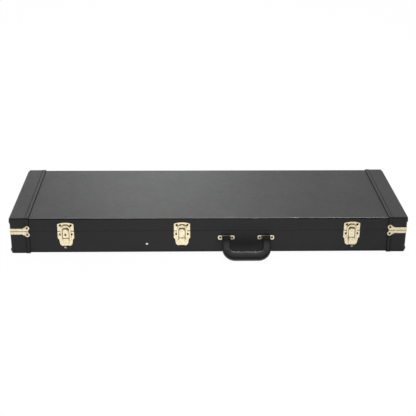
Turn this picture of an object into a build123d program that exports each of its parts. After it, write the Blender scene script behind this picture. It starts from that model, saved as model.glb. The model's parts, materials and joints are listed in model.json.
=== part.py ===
from build123d import *
import os
from math import acos, cos, degrees, radians, sin

os.makedirs("parts", exist_ok=True)

# Electric guitar case, in millimetres. +Z is up, X runs along the case and the latches face -Y.
# The origin is the centre of the covered underside. The end caps stand a little below it.

# Case shell
shell_length = 1021.0
shell_width = 339.0
shell_height = 96.0
parting_height = 61.0
parting_gap = 0.5
covering_thickness = 1.0
wall_thickness = 6.0
panel_thickness = 5.0
corner_radius = 2.6
edge_radius = 2.0
hidden_bevel = 2.4
nesting_clearance = 0.4
cap_hidden_bevel = 0.9
skin_end_bevel = 1.1

# Stitched end caps
cap_reach = 46.5
cap_thickness = 1.8
welt_width = 10.0
welt_rise = 0.8
welt_stop = 17.0
seam_width = 5.0
seam_rise = 1.8
seam_root = 1.0
seam_inset = 2.4
seam_turn = 12.0
seam_bevel = 1.0

# Inner frame and lining
frame_thickness = 3.0
tongue_height = 7.0
tongue_clearance = 0.9
lining_thickness = 3.0
pad_thickness = 5.7
seat_gap = 0.3
lining_drop = 1.0
lid_lining_clearance = 1.5

# Fitted blocks round the guitar
neck_support_x = -157.0
neck_support_length = 44.0
neck_support_height = 40.0
neck_channel_width = 66.0
neck_channel_depth = 27.0
neck_channel_radius = 18.0
block_height = 48.0
shoulder_x = 20.0
shoulder_depth = 90.0
shoulder_throat = 30.0
shoulder_bow = 26.0
neck_gap = 80.0
tail_reach = 95.0
tail_depth = 98.0
tail_bow = 24.0

# Accessory compartment
compartment_depth = 110.0
compartment_wall_thickness = 5.0
compartment_wall_height = 38.0
compartment_lid_thickness = 5.4
compartment_side_gap = 0.5
tab_width = 20.0
tab_length = 34.0
tab_overhang = 14.0
tab_thickness = 1.6

# Lid hinges
hinge_end_inset = 180.5
hinge_length = 50.0
knuckle_count = 3
knuckle_radius = 2.9
knuckle_wall_gap = 0.3
knuckle_end_gap = 0.3
hinge_pin_radius = 1.2
leaf_height = 16.0
leaf_thickness = 1.2
leaf_notch = 0.4
running_fit = 0.05

# Feet on the spine
foot_end_inset = 110.5
foot_low_z = 14.0
foot_high_z = 44.0
foot_radius = 7.0
foot_height = 9.0
foot_sides = 12

# Heads of rivets and eyelets
head_sides = 8
rivet_radius = 2.2
rivet_height = 1.1
eyelet_radius = 3.5
eyelet_height = 0.6
nail_x = -162.0
nail_z = 24.3
nail_radius = 3.0
nail_height = 0.7

# Latches, with depths measured out from the covered front
latch_left_inset = 140.5
latch_middle_x = -71.0
latch_right_inset = 141.5
plate_thickness = 0.9
strike_width = 41.5
strike_bottom = 1.0
strike_shoulder = 20.2
strike_top = 23.9
strike_corner = 3.0
strike_rivet_half_span = 13.6
strike_rivet_height = 16.5
lug_half_width = 7.2
lug_bottom = 9.4
lug_top = 13.0
lug_depth = 2.6
base_width = 42.0
base_waist = 35.5
base_foot_width = 31.0
base_toe = 4.5
base_top = -1.0
base_shoulder = -19.5
base_bottom = -41.0
base_rivet_half_span = 14.5
base_rivet_height = -9.0
housing_half_width = 8.2
housing_top = 8.5
housing_bottom = -16.0
housing_depth = 7.6
housing_round = 6.0
housing_bevel = 1.6
housing_back_gap = 0.3
lever_pivot_depth = 6.0
lever_pivot_height = -18.6
lever_boss_radius = 2.2
lever_half_width = 7.0
lever_web = 1.3
lever_cheek = 1.4
lever_bow = 1.6
lever_bow_drop = 10.0
lever_neck_drop = 17.0
lever_back_drop = 15.0
lever_back_depth = 1.5
tab_end_height = -43.5
tab_end_depth = 10.2
tab_curl = 2.6
tab_curl_drop = 22.5
tab_corner = 5.5
lever_pin_radius = 1.0
ear_thickness = 1.0
ear_gap = 0.3
bail_depth = 3.0
bail_thickness = 1.8
bail_half_width = 13.3
bail_inner_half_width = 8.6
bail_top = 18.4
bail_bar = 4.7
bail_shoulder_radius = 13.2
bail_throat_radius = 8.4
bail_pivot_height = -23.6
trunnion_radius = 0.9
trunnion_reach = 5.2

# Lock in the left latch
lock_height = -7.5
lock_radius = 3.2
lock_proud = 0.5
lock_flange = 2.2
keyway_width = 1.2
keyway_length = 4.4
keyway_depth = 2.5
cam_thickness = 1.4
cam_width = 3.2
cam_length = 5.4
cam_chamber_half = 6.0
cam_clearance = 0.3

# Corner straps
strap_thickness = 0.9
strap_lift = 0.05
strap_gap = 0.6
strap_band = 8.6
strap_shoulder_start = 33.0
strap_shoulder_height = 10.5
strap_length = 48.0
strap_ear_reach = 42.0
strap_ear_height = 9.3
strap_ear_radius = 7.0
ear_sides = 12

# Carrying handle
handle_x = 95.0
handle_half_span = 51.4
handle_pivot_height = 41.4
handle_pivot_depth = 8.5
knuckle_width = 18.4
handle_knuckle_radius = 5.0
handle_pin_radius = 1.6
arm_width = 18.0
arm_half_thickness = 5.5
grip_radius = 47.6
grip_half_height = 13.25
grip_half_thickness = 7.2
handle_half_width = 62.3
handle_corner_radius = 30.0
handle_throat_radius = 9.0
groove_depth = 2.6
groove_middle_share = 0.7
arm_swell_share = 0.4
handle_floor_gap = 0.5
core_width = 10.0
core_half_thickness = 1.2
core_start = 9.0
core_corner = 18.0
bracket_length = 42.8
bracket_height = 11.5
bracket_thickness = 1.2
bracket_corner = 4.0
bracket_ear_thickness = 2.0
bracket_ear_gap = 0.5
bracket_ear_radius = 3.6
bracket_eyelet_half_span = 16.0

# Planes and reaches that follow from the sizes above
front_y = -shell_width / 2
back_y = shell_width / 2
lid_rim_z = parting_height + parting_gap
board_length = shell_length - 2 * covering_thickness
board_width = shell_width - 2 * covering_thickness
inner_length = board_length - 2 * wall_thickness
inner_width = board_width - 2 * wall_thickness
floor_z = covering_thickness + panel_thickness
ceiling_z = shell_height - covering_thickness - panel_thickness
pad_top_z = floor_z + seat_gap + pad_thickness
block_z = pad_top_z + seat_gap
tongue_top_z = parting_height + tongue_height
frame_inner_length = inner_length - 2 * frame_thickness
frame_inner_width = inner_width - 2 * frame_thickness
room_length = frame_inner_length - 2 * (lining_thickness + 2 * seat_gap)
room_width = frame_inner_width - 2 * (lining_thickness + 2 * seat_gap)
axis_y = back_y + knuckle_wall_gap + knuckle_radius
axis_z = parting_height + parting_gap / 2
hinge_positions = (hinge_end_inset - shell_length / 2, 0.0, shell_length / 2 - hinge_end_inset)
latch_positions = {
    "left": latch_left_inset - shell_length / 2,
    "middle": latch_middle_x,
    "right": shell_length / 2 - latch_right_inset,
}


def finish(piece, name):
    """Label a finished piece and write it under its node name."""
    piece.label = name
    export_step(piece, f"parts/{name}.step")


def block(x0, x1, y0, y1, z0, z1):
    """A square block between three pairs of planes."""
    with BuildPart() as piece:
        with BuildSketch(Plane.XY.offset(z0)):
            with Locations(((x0 + x1) / 2, (y0 + y1) / 2)):
                Rectangle(x1 - x0, y1 - y0)
        extrude(amount=z1 - z0)
    return piece.part


def tray(length, width, closed_z, rim_z, corner, edge):
    """A solid half of the case: rounded corners, and a rounded edge at its closed end."""
    low = min(closed_z, rim_z)
    with BuildPart() as piece:
        with BuildSketch(Plane.XY.offset(low)):
            RectangleRounded(length, width, corner)
        extrude(amount=abs(rim_z - closed_z))
        closed_face = piece.faces().sort_by(Axis.Z)[0 if closed_z < rim_z else -1]
        fillet(closed_face.edges(), edge)
    return piece.part


def bevelled_core(length, width, closed_z, rim_z, bevel):
    """The hidden form of a half, with bevelled corners and a bevelled closed end."""
    low = min(closed_z, rim_z)
    with BuildPart() as piece:
        with BuildSketch(Plane.XY.offset(low)) as outline:
            Rectangle(length, width)
            chamfer(outline.vertices(), bevel)
        extrude(amount=abs(rim_z - closed_z))
        closed_face = piece.faces().sort_by(Axis.Z)[0 if closed_z < rim_z else -1]
        chamfer(closed_face.edges(), bevel)
    return piece.part


def front_plane(x, depth=0.0):
    """On the covered front at the parting line: local x along the case, local y up, normal outward."""
    return Plane(origin=(x, front_y - depth, parting_height), x_dir=(1, 0, 0), z_dir=(0, -1, 0))


def side_plane(x):
    """Across the front: local x is the depth outward and local y is up."""
    return Plane(origin=(x, front_y, parting_height), x_dir=(0, -1, 0), z_dir=(-1, 0, 0))


def pin_along_x(x_mid, y, z, radius, half_length):
    """A round pin whose axis runs along the case."""
    with BuildPart() as piece:
        with BuildSketch(Plane(origin=(x_mid, y, z), x_dir=(0, 1, 0), z_dir=(1, 0, 0))):
            Circle(radius)
        extrude(amount=half_length, both=True)
    return piece.part


def head(plane, radius, height, sides=head_sides):
    """A rivet head, an eyelet's flange or another stud, with few sides because there are many of them."""
    with BuildPart() as piece:
        with BuildSketch(plane):
            RegularPolygon(radius, sides)
        extrude(amount=height)
    return piece.part


# Plywood boards. Each half has four walls and a panel, trimmed to a core with bevelled corners.
def boards(closed_z, rim_z, panel_z, part_prefix, panel_name):
    """The walls and the panel of one half of the case."""
    core = bevelled_core(board_length, board_width, closed_z, rim_z, hidden_bevel + nesting_clearance)
    x_out, y_out = board_length / 2, board_width / 2
    x_in, y_in = inner_length / 2, inner_width / 2
    low, high = min(panel_z, rim_z), max(panel_z, rim_z)
    walls = {
        "front_board": (-x_out, x_out, -y_out, -y_in, low, high),
        "back_board": (-x_out, x_out, y_in, y_out, low, high),
        "left_end_board": (-x_out, -x_in, -y_in, y_in, low, high),
        "right_end_board": (x_in, x_out, -y_in, y_in, low, high),
        panel_name: (-x_out, x_out, -y_out, y_out, min(closed_z, panel_z), max(closed_z, panel_z)),
    }
    for name, limits in walls.items():
        with BuildPart() as board:
            add(block(*limits))
            add(core, mode=Mode.INTERSECT)
        finish(board.part, part_prefix + name)


boards(covering_thickness, parting_height, floor_z, "body_", "bottom_panel")
boards(shell_height - covering_thickness, lid_rim_z, ceiling_z, "lid_", "top_panel")


# Covering. A thin skin round each half, open at the parting line.
def covering(closed_z, inner_z, rim_z, name):
    """The leathercloth skin of one half; its bevelled ends lie under the end caps."""
    with BuildPart() as skin:
        with BuildSketch(Plane.YZ) as section:
            with Locations((0, (closed_z + rim_z) / 2)):
                Rectangle(shell_width, abs(rim_z - closed_z))
            fillet(section.vertices().group_by(Axis.Y)[0 if closed_z < rim_z else -1], edge_radius)
        extrude(amount=shell_length / 2, both=True)
        add(bevelled_core(shell_length, shell_width, closed_z, rim_z, skin_end_bevel), mode=Mode.INTERSECT)
        add(bevelled_core(board_length, board_width, inner_z, rim_z, hidden_bevel), mode=Mode.SUBTRACT)
    finish(skin.part, name)


covering(0.0, covering_thickness, parting_height, "body_covering")
covering(shell_height, shell_height - covering_thickness, lid_rim_z, "lid_covering")


# Stitched end caps, with a welt round the inner edge and a seam ridge on the end face.
def end_cap(side, closed_z, rim_z, name):
    """One half of an end cap; side is -1 for the left end and 1 for the right."""
    down = 1 if closed_z > rim_z else -1
    outer_z = closed_z + down * cap_thickness
    end_x = shell_length / 2 + cap_thickness
    inner_x = shell_length / 2 - cap_reach
    x_range = sorted((side * inner_x, side * (end_x + cap_thickness)))
    welt_x = sorted((side * inner_x, side * (inner_x + welt_width)))
    z_far = closed_z + down * 2 * (cap_thickness + welt_rise)
    z_stop = rim_z + down * welt_stop
    reach_y = shell_width
    with BuildPart() as welt:
        add(tray(shell_length + 2 * cap_thickness, shell_width + 2 * (cap_thickness + welt_rise),
                 outer_z + down * welt_rise, rim_z,
                 corner_radius + cap_thickness + welt_rise, edge_radius + cap_thickness + welt_rise))
        add(block(*welt_x, -reach_y, reach_y, *sorted((z_stop, z_far))), mode=Mode.INTERSECT)
    with BuildPart() as cap:
        add(tray(shell_length + 2 * cap_thickness, shell_width + 2 * cap_thickness, outer_z, rim_z,
                 corner_radius + cap_thickness, edge_radius + cap_thickness))
        add(block(*x_range, -reach_y, reach_y, *sorted((rim_z, z_far))), mode=Mode.INTERSECT)
        add(welt.part)
        add(bevelled_core(shell_length, shell_width, closed_z, rim_z, cap_hidden_bevel), mode=Mode.SUBTRACT)
        seam_half = shell_width / 2 + cap_thickness - seam_inset
        seam_far = outer_z - down * seam_inset
        seam_near = seam_far - down * seam_turn
        root_x = side * (end_x - seam_root)
        face_plane = Plane(origin=(root_x, 0, 0), x_dir=(0, side, 0), z_dir=(side, 0, 0))
        with BuildSketch(face_plane) as seam:
            with Locations((0, (seam_far + seam_near) / 2)):
                Rectangle(2 * seam_half, seam_turn)
            chamfer(seam.vertices().group_by(Axis.Y)[-1 if down > 0 else 0], seam_width)
            with Locations((0, (seam_far + seam_near) / 2 - down * seam_width)):
                Rectangle(2 * (seam_half - seam_width), seam_turn, mode=Mode.SUBTRACT)
        extrude(amount=seam_rise + seam_root)
        ridge_face = cap.faces().sort_by(Axis.X)[-1 if side > 0 else 0]
        chamfer(ridge_face.edges(), seam_bevel)
    finish(cap.part, name)


for side, side_name in ((-1, "left"), (1, "right")):
    end_cap(side, 0.0, parting_height, f"body_{side_name}_cap")
    end_cap(side, shell_height, lid_rim_z, f"lid_{side_name}_cap")

# Inner frame. Thin strips inside the body walls rise above the rim and step back to clear the lid.
with BuildPart() as inner_frame:
    with BuildSketch(Plane.XY.offset(floor_z)):
        Rectangle(inner_length, inner_width)
        Rectangle(frame_inner_length, frame_inner_width, mode=Mode.SUBTRACT)
    extrude(amount=parting_height - floor_z)
    with BuildSketch(Plane.XY.offset(parting_height)):
        Rectangle(inner_length - 2 * tongue_clearance, inner_width - 2 * tongue_clearance)
        Rectangle(frame_inner_length, frame_inner_width, mode=Mode.SUBTRACT)
    extrude(amount=tongue_height)
finish(inner_frame.part, "inner_frame")


# Plush linings and pads
def lining_ring(length, width, z0, z1, name):
    """A plush strip round the inside of the walls."""
    with BuildPart() as ring:
        with BuildSketch(Plane.XY.offset(z0)):
            Rectangle(length, width)
            Rectangle(length - 2 * lining_thickness, width - 2 * lining_thickness, mode=Mode.SUBTRACT)
        extrude(amount=z1 - z0)
    finish(ring.part, name)


lining_ring(frame_inner_length - 2 * seat_gap, frame_inner_width - 2 * seat_gap,
            block_z, tongue_top_z - lining_drop, "body_lining")
lid_pad_z = ceiling_z - seat_gap - pad_thickness
lining_ring(inner_length - 2 * seat_gap, inner_width - 2 * seat_gap,
            tongue_top_z + lid_lining_clearance, lid_pad_z - seat_gap, "lid_lining")


def pad(length, width, z0, crown_up, name):
    """A flat plush pad with its free face sloped off at the border."""
    with BuildPart() as cushion:
        with BuildSketch(Plane.XY.offset(z0)):
            Rectangle(length, width)
        extrude(amount=pad_thickness)
        free_face = cushion.faces().sort_by(Axis.Z)[-1 if crown_up else 0]
        chamfer(free_face.edges(), pad_thickness / 2)
    finish(cushion.part, name)


pad(frame_inner_length - 2 * seat_gap, frame_inner_width - 2 * seat_gap,
    floor_z + seat_gap, True, "bottom_pad")
pad(inner_length - 2 * seat_gap, inner_width - 2 * seat_gap, lid_pad_z, False, "lid_pad")

# Neck support: a block across the case with a rounded channel for the neck.
with BuildPart() as neck_support:
    with BuildSketch(Plane.YZ.offset(neck_support_x)) as neck_section:
        with Locations((0, block_z + neck_support_height / 2)):
            Rectangle(room_width, neck_support_height)
        with Locations((0, block_z + neck_support_height)):
            RectangleRounded(neck_channel_width, 2 * neck_channel_depth, neck_channel_radius,
                             mode=Mode.SUBTRACT)
    extrude(amount=neck_support_length / 2, both=True)
finish(neck_support.part, "neck_support")


# Shoulder and tail blocks, each hollowed to the guitar's outline
def shoulder_block(side, name):
    """The block beside the neck joint; side is -1 at the front and 1 at the back."""
    wall = side * room_width / 2
    throat = side * neck_gap / 2
    with BuildPart() as piece:
        with BuildSketch(Plane.XY.offset(block_z)):
            with BuildLine():
                Line((shoulder_x + shoulder_depth, wall), (shoulder_x, wall))
                Line((shoulder_x, wall), (shoulder_x, throat))
                Line((shoulder_x, throat), (shoulder_x + shoulder_throat, throat))
                SagittaArc((shoulder_x + shoulder_throat, throat), (shoulder_x + shoulder_depth, wall),
                           side * shoulder_bow)
            make_face()
        extrude(amount=block_height)
    finish(piece.part, name)


def tail_block(side, name):
    """The corner block behind the guitar's lower end."""
    wall = side * room_width / 2
    end = room_length / 2
    inner = side * (room_width / 2 - tail_depth)
    with BuildPart() as piece:
        with BuildSketch(Plane.XY.offset(block_z)):
            with BuildLine():
                Line((end, inner), (end, wall))
                Line((end, wall), (end - tail_reach, wall))
                SagittaArc((end - tail_reach, wall), (end, inner), side * tail_bow)
            make_face()
        extrude(amount=block_height)
    finish(piece.part, name)


for side, side_name in ((-1, "front"), (1, "back")):
    shoulder_block(side, f"shoulder_block_{side_name}")
    tail_block(side, f"tail_block_{side_name}")

# Accessory compartment between the neck support and the front shoulder block
compartment_x0 = neck_support_x + neck_support_length / 2 + compartment_side_gap
compartment_x1 = shoulder_x - compartment_side_gap
compartment_front = -room_width / 2
wall_y = compartment_front + compartment_depth
compartment_top = block_z + compartment_wall_height
with BuildPart() as compartment_wall:
    add(block(compartment_x0, compartment_x1, wall_y, wall_y + compartment_wall_thickness,
              block_z, compartment_top))
finish(compartment_wall.part, "compartment_wall")

lid_bottom = compartment_top + seat_gap
lid_top = lid_bottom + compartment_lid_thickness
lid_free_y = wall_y + compartment_wall_thickness
lid_hinge_y = compartment_front + seat_gap + compartment_lid_thickness / 2
with BuildPart() as compartment_lid:
    with BuildSketch(Plane.YZ.offset(compartment_x0)):
        with Locations(((lid_hinge_y + lid_free_y) / 2, (lid_bottom + lid_top) / 2)):
            Rectangle(lid_free_y - lid_hinge_y, compartment_lid_thickness)
        with Locations((lid_hinge_y, (lid_bottom + lid_top) / 2)):
            Circle(compartment_lid_thickness / 2)
    extrude(amount=compartment_x1 - compartment_x0)
    free_edge = compartment_lid.faces().sort_by(Axis.Z)[-1].edges().sort_by(Axis.Y)[-1]
    chamfer(free_edge, compartment_lid_thickness / 4)
finish(compartment_lid.part, "compartment_lid")

tab_x = (compartment_x0 + compartment_x1) / 2
with BuildPart() as pull_tab:
    with BuildSketch(Plane.XY.offset(lid_top)) as tab_outline:
        with Locations((tab_x, lid_free_y + tab_overhang - tab_length / 2)):
            Rectangle(tab_width, tab_length)
        fillet(tab_outline.vertices().group_by(Axis.Y)[-1], tab_width * 0.45)
    extrude(amount=tab_thickness)
finish(pull_tab.part, "pull_tab")


# Hinges: two leaves with alternating knuckles. The pin is fixed in the outer two, which are the body's.
def hinge_leaf(x, up, own):
    """A leaf on one half; own says which knuckles it carries, 0 for the even and 1 for the odd."""
    pitch = hinge_length / knuckle_count
    start = x - hinge_length / 2
    plate_end = axis_z + up * leaf_height
    notch_end = axis_z + up * (knuckle_radius + leaf_notch)
    with BuildPart() as leaf:
        add(block(start, start + hinge_length, back_y, back_y + leaf_thickness,
                  *sorted((axis_z, plate_end))))
        outer = leaf.edges().filter_by(Axis.Y).group_by(Axis.Z)[-1 if up > 0 else 0]
        chamfer(outer, leaf_thickness * 2)
        for index in range(knuckle_count):
            x0 = start + index * pitch
            if index % 2 == own:
                add(pin_along_x(x0 + pitch / 2, axis_y, axis_z, knuckle_radius,
                                (pitch - knuckle_end_gap) / 2))
            else:
                add(block(x0 - knuckle_end_gap / 2, x0 + pitch + knuckle_end_gap / 2,
                          back_y, back_y + 2 * leaf_thickness, *sorted((axis_z - up, notch_end))),
                    mode=Mode.SUBTRACT)
    return leaf.part


with BuildPart() as hinge_body_leaves:
    for x in hinge_positions:
        add(hinge_leaf(x, -1, 0))
        add(pin_along_x(x, axis_y, axis_z, hinge_pin_radius, hinge_length / 2 - knuckle_end_gap))
finish(hinge_body_leaves.part, "hinge_body_leaves")
with BuildPart() as hinge_lid_leaves:
    for x in hinge_positions:
        add(hinge_leaf(x, 1, 1))
        add(pin_along_x(x, axis_y, axis_z, hinge_pin_radius + running_fit, hinge_length), mode=Mode.SUBTRACT)
finish(hinge_lid_leaves.part, "hinge_lid_leaves")

# Feet on the spine, for standing the case on its hinge side
with BuildPart() as spine_feet:
    for x in (foot_end_inset - shell_length / 2, shell_length / 2 - foot_end_inset):
        for z in (foot_low_z, foot_high_z):
            add(head(Plane(origin=(x, back_y, z), z_dir=(0, 1, 0)), foot_radius, foot_height, foot_sides))
finish(spine_feet.part, "spine_feet")


# Latches
def strike_plate(x, name):
    """The plate on the lid, with a bowed top edge and a raised lug."""
    with BuildPart() as strike:
        with BuildSketch(front_plane(x)) as outline:
            half = strike_width / 2
            with BuildLine():
                Line((half, strike_shoulder), (half, strike_bottom))
                Line((half, strike_bottom), (-half, strike_bottom))
                Line((-half, strike_bottom), (-half, strike_shoulder))
                ThreePointArc((-half, strike_shoulder), (0, strike_top), (half, strike_shoulder))
            make_face()
            fillet(outline.vertices().group_by(Axis.Y)[-1], strike_corner)
        extrude(amount=plate_thickness)
        with BuildSketch(front_plane(x, plate_thickness)):
            with Locations((0, (lug_bottom + lug_top) / 2)):
                Rectangle(2 * lug_half_width, lug_top - lug_bottom)
        extrude(amount=lug_depth - plate_thickness)
    finish(strike.part, name)


def latch_base(x, name, locked):
    """The plate on the body, its domed housing and the two ears that hold the lever's pin."""
    ear_inner = lever_half_width + ear_gap
    with BuildPart() as base:
        with BuildSketch(front_plane(x)):
            top, waist, foot = base_width / 2, base_waist / 2, base_foot_width / 2
            with BuildLine():
                Polyline((0, base_bottom), (foot - base_toe, base_bottom), (foot, base_bottom + base_toe),
                         (waist, base_shoulder - (top - waist)), (top, base_shoulder), (top, base_top),
                         (0, base_top))
                mirror(about=Plane.YZ)
            make_face()
        extrude(amount=plate_thickness)
        with BuildSketch(front_plane(x, plate_thickness)):
            with Locations((0, (base_top + housing_bottom) / 2)):
                Rectangle(2 * housing_half_width, base_top - housing_bottom)
        extrude(amount=housing_back_gap)
        with BuildSketch(front_plane(x, plate_thickness + housing_back_gap)) as housing:
            with Locations((0, (housing_top + housing_bottom) / 2)):
                Rectangle(2 * housing_half_width, housing_top - housing_bottom)
            fillet(housing.vertices().group_by(Axis.Y)[-1], housing_round)
        extrude(amount=housing_depth - plate_thickness - housing_back_gap)
        front_edges = base.faces().sort_by(Axis.Y)[0].edges().sort_by(Axis.Z)[1:]
        chamfer(front_edges, housing_bevel)
        for side in (-1, 1):
            with BuildSketch(side_plane(x).offset(side * (ear_inner + ear_thickness / 2))):
                with Locations((lever_pivot_depth, lever_pivot_height)):
                    Circle(lever_boss_radius)
                Polygon((0, housing_bottom), (0, lever_pivot_height - lever_boss_radius),
                        (lever_pivot_depth, lever_pivot_height - lever_boss_radius),
                        (lever_pivot_depth + lever_boss_radius / 2, housing_bottom), align=None)
            extrude(amount=ear_thickness / 2, both=True)
        add(pin_along_x(x, front_y - lever_pivot_depth, parting_height + lever_pivot_height,
                        lever_pin_radius, ear_inner + ear_thickness))
        if locked:
            with BuildSketch(front_plane(x, lock_flange - cam_clearance)):
                with Locations((0, lock_height)):
                    Rectangle(2 * cam_chamber_half, 2 * cam_chamber_half)
            extrude(amount=cam_thickness + 2 * cam_clearance, mode=Mode.SUBTRACT)
            with BuildSketch(front_plane(x, lock_flange)):
                with Locations((0, lock_height)):
                    Circle(lock_radius + running_fit)
            extrude(amount=housing_depth, mode=Mode.SUBTRACT)
    finish(base.part, name)


def latch_lever(x, name):
    """The lever: a folded channel with a boss on its pin, notches for the bail and a curled finger tab."""
    depth, height = lever_pivot_depth, lever_pivot_height
    with BuildPart() as lever:
        with BuildSketch(side_plane(x)):
            with Locations((depth, height)):
                Circle(lever_boss_radius)
            with BuildLine():
                ThreePointArc((depth + lever_boss_radius, height),
                              (depth + lever_bow, height - lever_bow_drop),
                              (depth, height - lever_neck_drop))
                ThreePointArc((depth, height - lever_neck_drop),
                              (tab_end_depth - tab_curl, height - tab_curl_drop),
                              (tab_end_depth, tab_end_height))
                Polyline((tab_end_depth, tab_end_height),
                         (tab_end_depth - lever_web, tab_end_height),
                         (depth - lever_web, height - tab_curl_drop),
                         (lever_back_depth, height - lever_back_drop),
                         (lever_back_depth, height - lever_boss_radius),
                         (depth, height),
                         (depth + lever_boss_radius, height))
            make_face()
        extrude(amount=lever_half_width, both=True)
        with BuildSketch(front_plane(x)) as front_outline:
            with Locations((0, (height + lever_boss_radius + tab_end_height) / 2)):
                Rectangle(2 * lever_half_width, height + lever_boss_radius - tab_end_height)
            fillet(front_outline.vertices().group_by(Axis.Y)[0], tab_corner)
        extrude(amount=tab_end_depth + lever_boss_radius, mode=Mode.INTERSECT)
        with BuildSketch(side_plane(x)):
            Polygon((0, height - lever_boss_radius - lever_web),
                    (depth, height - lever_boss_radius - lever_web),
                    (depth, height - lever_bow_drop),
                    (depth - lever_web, height - lever_back_drop - lever_web),
                    (0, height - lever_back_drop - lever_web), align=None)
        extrude(amount=lever_half_width - lever_cheek, both=True, mode=Mode.SUBTRACT)
        pin_y = front_y - depth
        add(pin_along_x(x, pin_y, parting_height + height, lever_pin_radius + running_fit, base_width / 2),
            mode=Mode.SUBTRACT)
        trunnion_depth = bail_depth + bail_thickness / 2
        notch_radius = trunnion_radius + running_fit
        with BuildSketch(side_plane(x)):
            with Locations((trunnion_depth, bail_pivot_height)):
                Circle(notch_radius)
            with Locations((trunnion_depth / 2, bail_pivot_height)):
                Rectangle(trunnion_depth, 2 * notch_radius)
        extrude(amount=lever_half_width, both=True, mode=Mode.SUBTRACT)
    finish(lever.part, name)


def latch_bail(x, name):
    """The bail: an arch over the strike, with two trunnions that turn in the lever."""
    leg_width = bail_half_width - bail_inner_half_width
    leg_height = bail_top - bail_pivot_height + leg_width / 2
    with BuildPart() as bail:
        with BuildSketch(front_plane(x, bail_depth)) as arch:
            with Locations((0, bail_top - leg_height / 2)):
                Rectangle(2 * bail_half_width, leg_height)
            fillet(arch.vertices().group_by(Axis.Y)[-1], bail_shoulder_radius)
            with BuildSketch(mode=Mode.SUBTRACT) as throat:
                with Locations((0, bail_top - bail_bar - leg_height / 2)):
                    Rectangle(2 * bail_inner_half_width, leg_height)
                fillet(throat.vertices().group_by(Axis.Y)[-1], bail_throat_radius)
        extrude(amount=bail_thickness)
        for side in (-1, 1):
            middle = side * (bail_inner_half_width + trunnion_reach) / 2
            add(pin_along_x(x + middle, front_y - bail_depth - bail_thickness / 2,
                            parting_height + bail_pivot_height, trunnion_radius,
                            (bail_inner_half_width - trunnion_reach) / 2))
    finish(bail.part, name)


for latch_name, latch_x in latch_positions.items():
    strike_plate(latch_x, f"strike_plate_{latch_name}")
    latch_base(latch_x, f"latch_base_{latch_name}", latch_name == "left")
    latch_lever(latch_x, f"latch_lever_{latch_name}")
    latch_bail(latch_x, f"latch_bail_{latch_name}")

# Lock plug with its cam, turning in the left latch's housing
lock_x = latch_positions["left"]
with BuildPart() as lock_plug:
    with BuildSketch(front_plane(lock_x, lock_flange)):
        with Locations((0, lock_height)):
            Circle(lock_radius)
    extrude(amount=housing_depth + lock_proud - lock_flange)
    with BuildSketch(front_plane(lock_x, lock_flange)):
        with Locations((0, lock_height)):
            Circle(lock_radius)
        with Locations((0, lock_height - cam_length / 2)):
            Rectangle(cam_width, cam_length)
    extrude(amount=cam_thickness)
    with BuildSketch(front_plane(lock_x, housing_depth + lock_proud - keyway_depth)):
        with Locations((0, lock_height)):
            Rectangle(keyway_width, keyway_length)
    extrude(amount=keyway_depth, mode=Mode.SUBTRACT)
finish(lock_plug.part, "lock_plug")


# Corner straps: one half on the body and one on the lid at each corner
strap_x = shell_length / 2 + cap_thickness
strap_y = shell_width / 2 + cap_thickness
strap_radius = corner_radius + cap_thickness


def strap_arm(plane, up):
    """One arm of a strap on its face: a band, a shoulder and an ear round the eyelet."""
    with BuildPart() as arm:
        with BuildSketch(plane):
            with Locations(((strap_radius + strap_length) / 2, up * (strap_gap + strap_band) / 2)):
                Rectangle(strap_length - strap_radius, strap_band - strap_gap)
            with Locations(((strap_shoulder_start + strap_ear_reach) / 2,
                            up * (strap_gap + strap_shoulder_height) / 2)):
                Rectangle(strap_ear_reach - strap_shoulder_start, strap_shoulder_height - strap_gap)
            with Locations((strap_ear_reach, up * strap_ear_height)):
                RegularPolygon(strap_ear_radius, ear_sides)
        extrude(amount=strap_thickness)
    return arm.part


def corner_straps(up, name):
    """The four half straps of one half of the case; up is 1 for the lid and -1 for the body."""
    corner = (strap_x, strap_y, axis_z)
    low = axis_z + (strap_gap if up > 0 else -strap_band)
    with BuildPart() as straps:
        add(strap_arm(Plane(origin=corner, x_dir=(-1, 0, 0), z_dir=(0, 1, 0)), up))
        add(strap_arm(Plane(origin=corner, x_dir=(0, -1, 0), z_dir=(1, 0, 0)), -up))
        with BuildSketch(Plane.XY.offset(low)):
            with Locations((strap_x - strap_radius, strap_y - strap_radius)):
                Circle(strap_radius + strap_thickness)
                Circle(strap_radius + strap_lift, mode=Mode.SUBTRACT)
            with Locations((strap_x, strap_y)):
                Rectangle(2 * strap_radius, 2 * strap_radius, mode=Mode.INTERSECT)
        extrude(amount=strap_band - strap_gap)
        mirror(about=Plane.YZ)
        mirror(about=Plane.XZ)
    finish(straps.part, name)


corner_straps(-1, "body_corner_straps")
corner_straps(1, "lid_corner_straps")


def strap_eyelets(up):
    """The eyelets of the four half straps, two to a corner."""
    height = axis_z + up * strap_ear_height
    with BuildPart() as eyelets:
        for spot, outward in (((strap_x - strap_ear_reach, strap_y, height), (0, 1, 0)),
                              ((strap_x, strap_y - strap_ear_reach, height), (1, 0, 0))):
            strap_face = Plane(origin=spot, z_dir=outward).offset(strap_thickness)
            add(head(strap_face, eyelet_radius, eyelet_height))
        mirror(about=Plane.YZ)
        mirror(about=Plane.XZ)
    return eyelets.part


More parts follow.
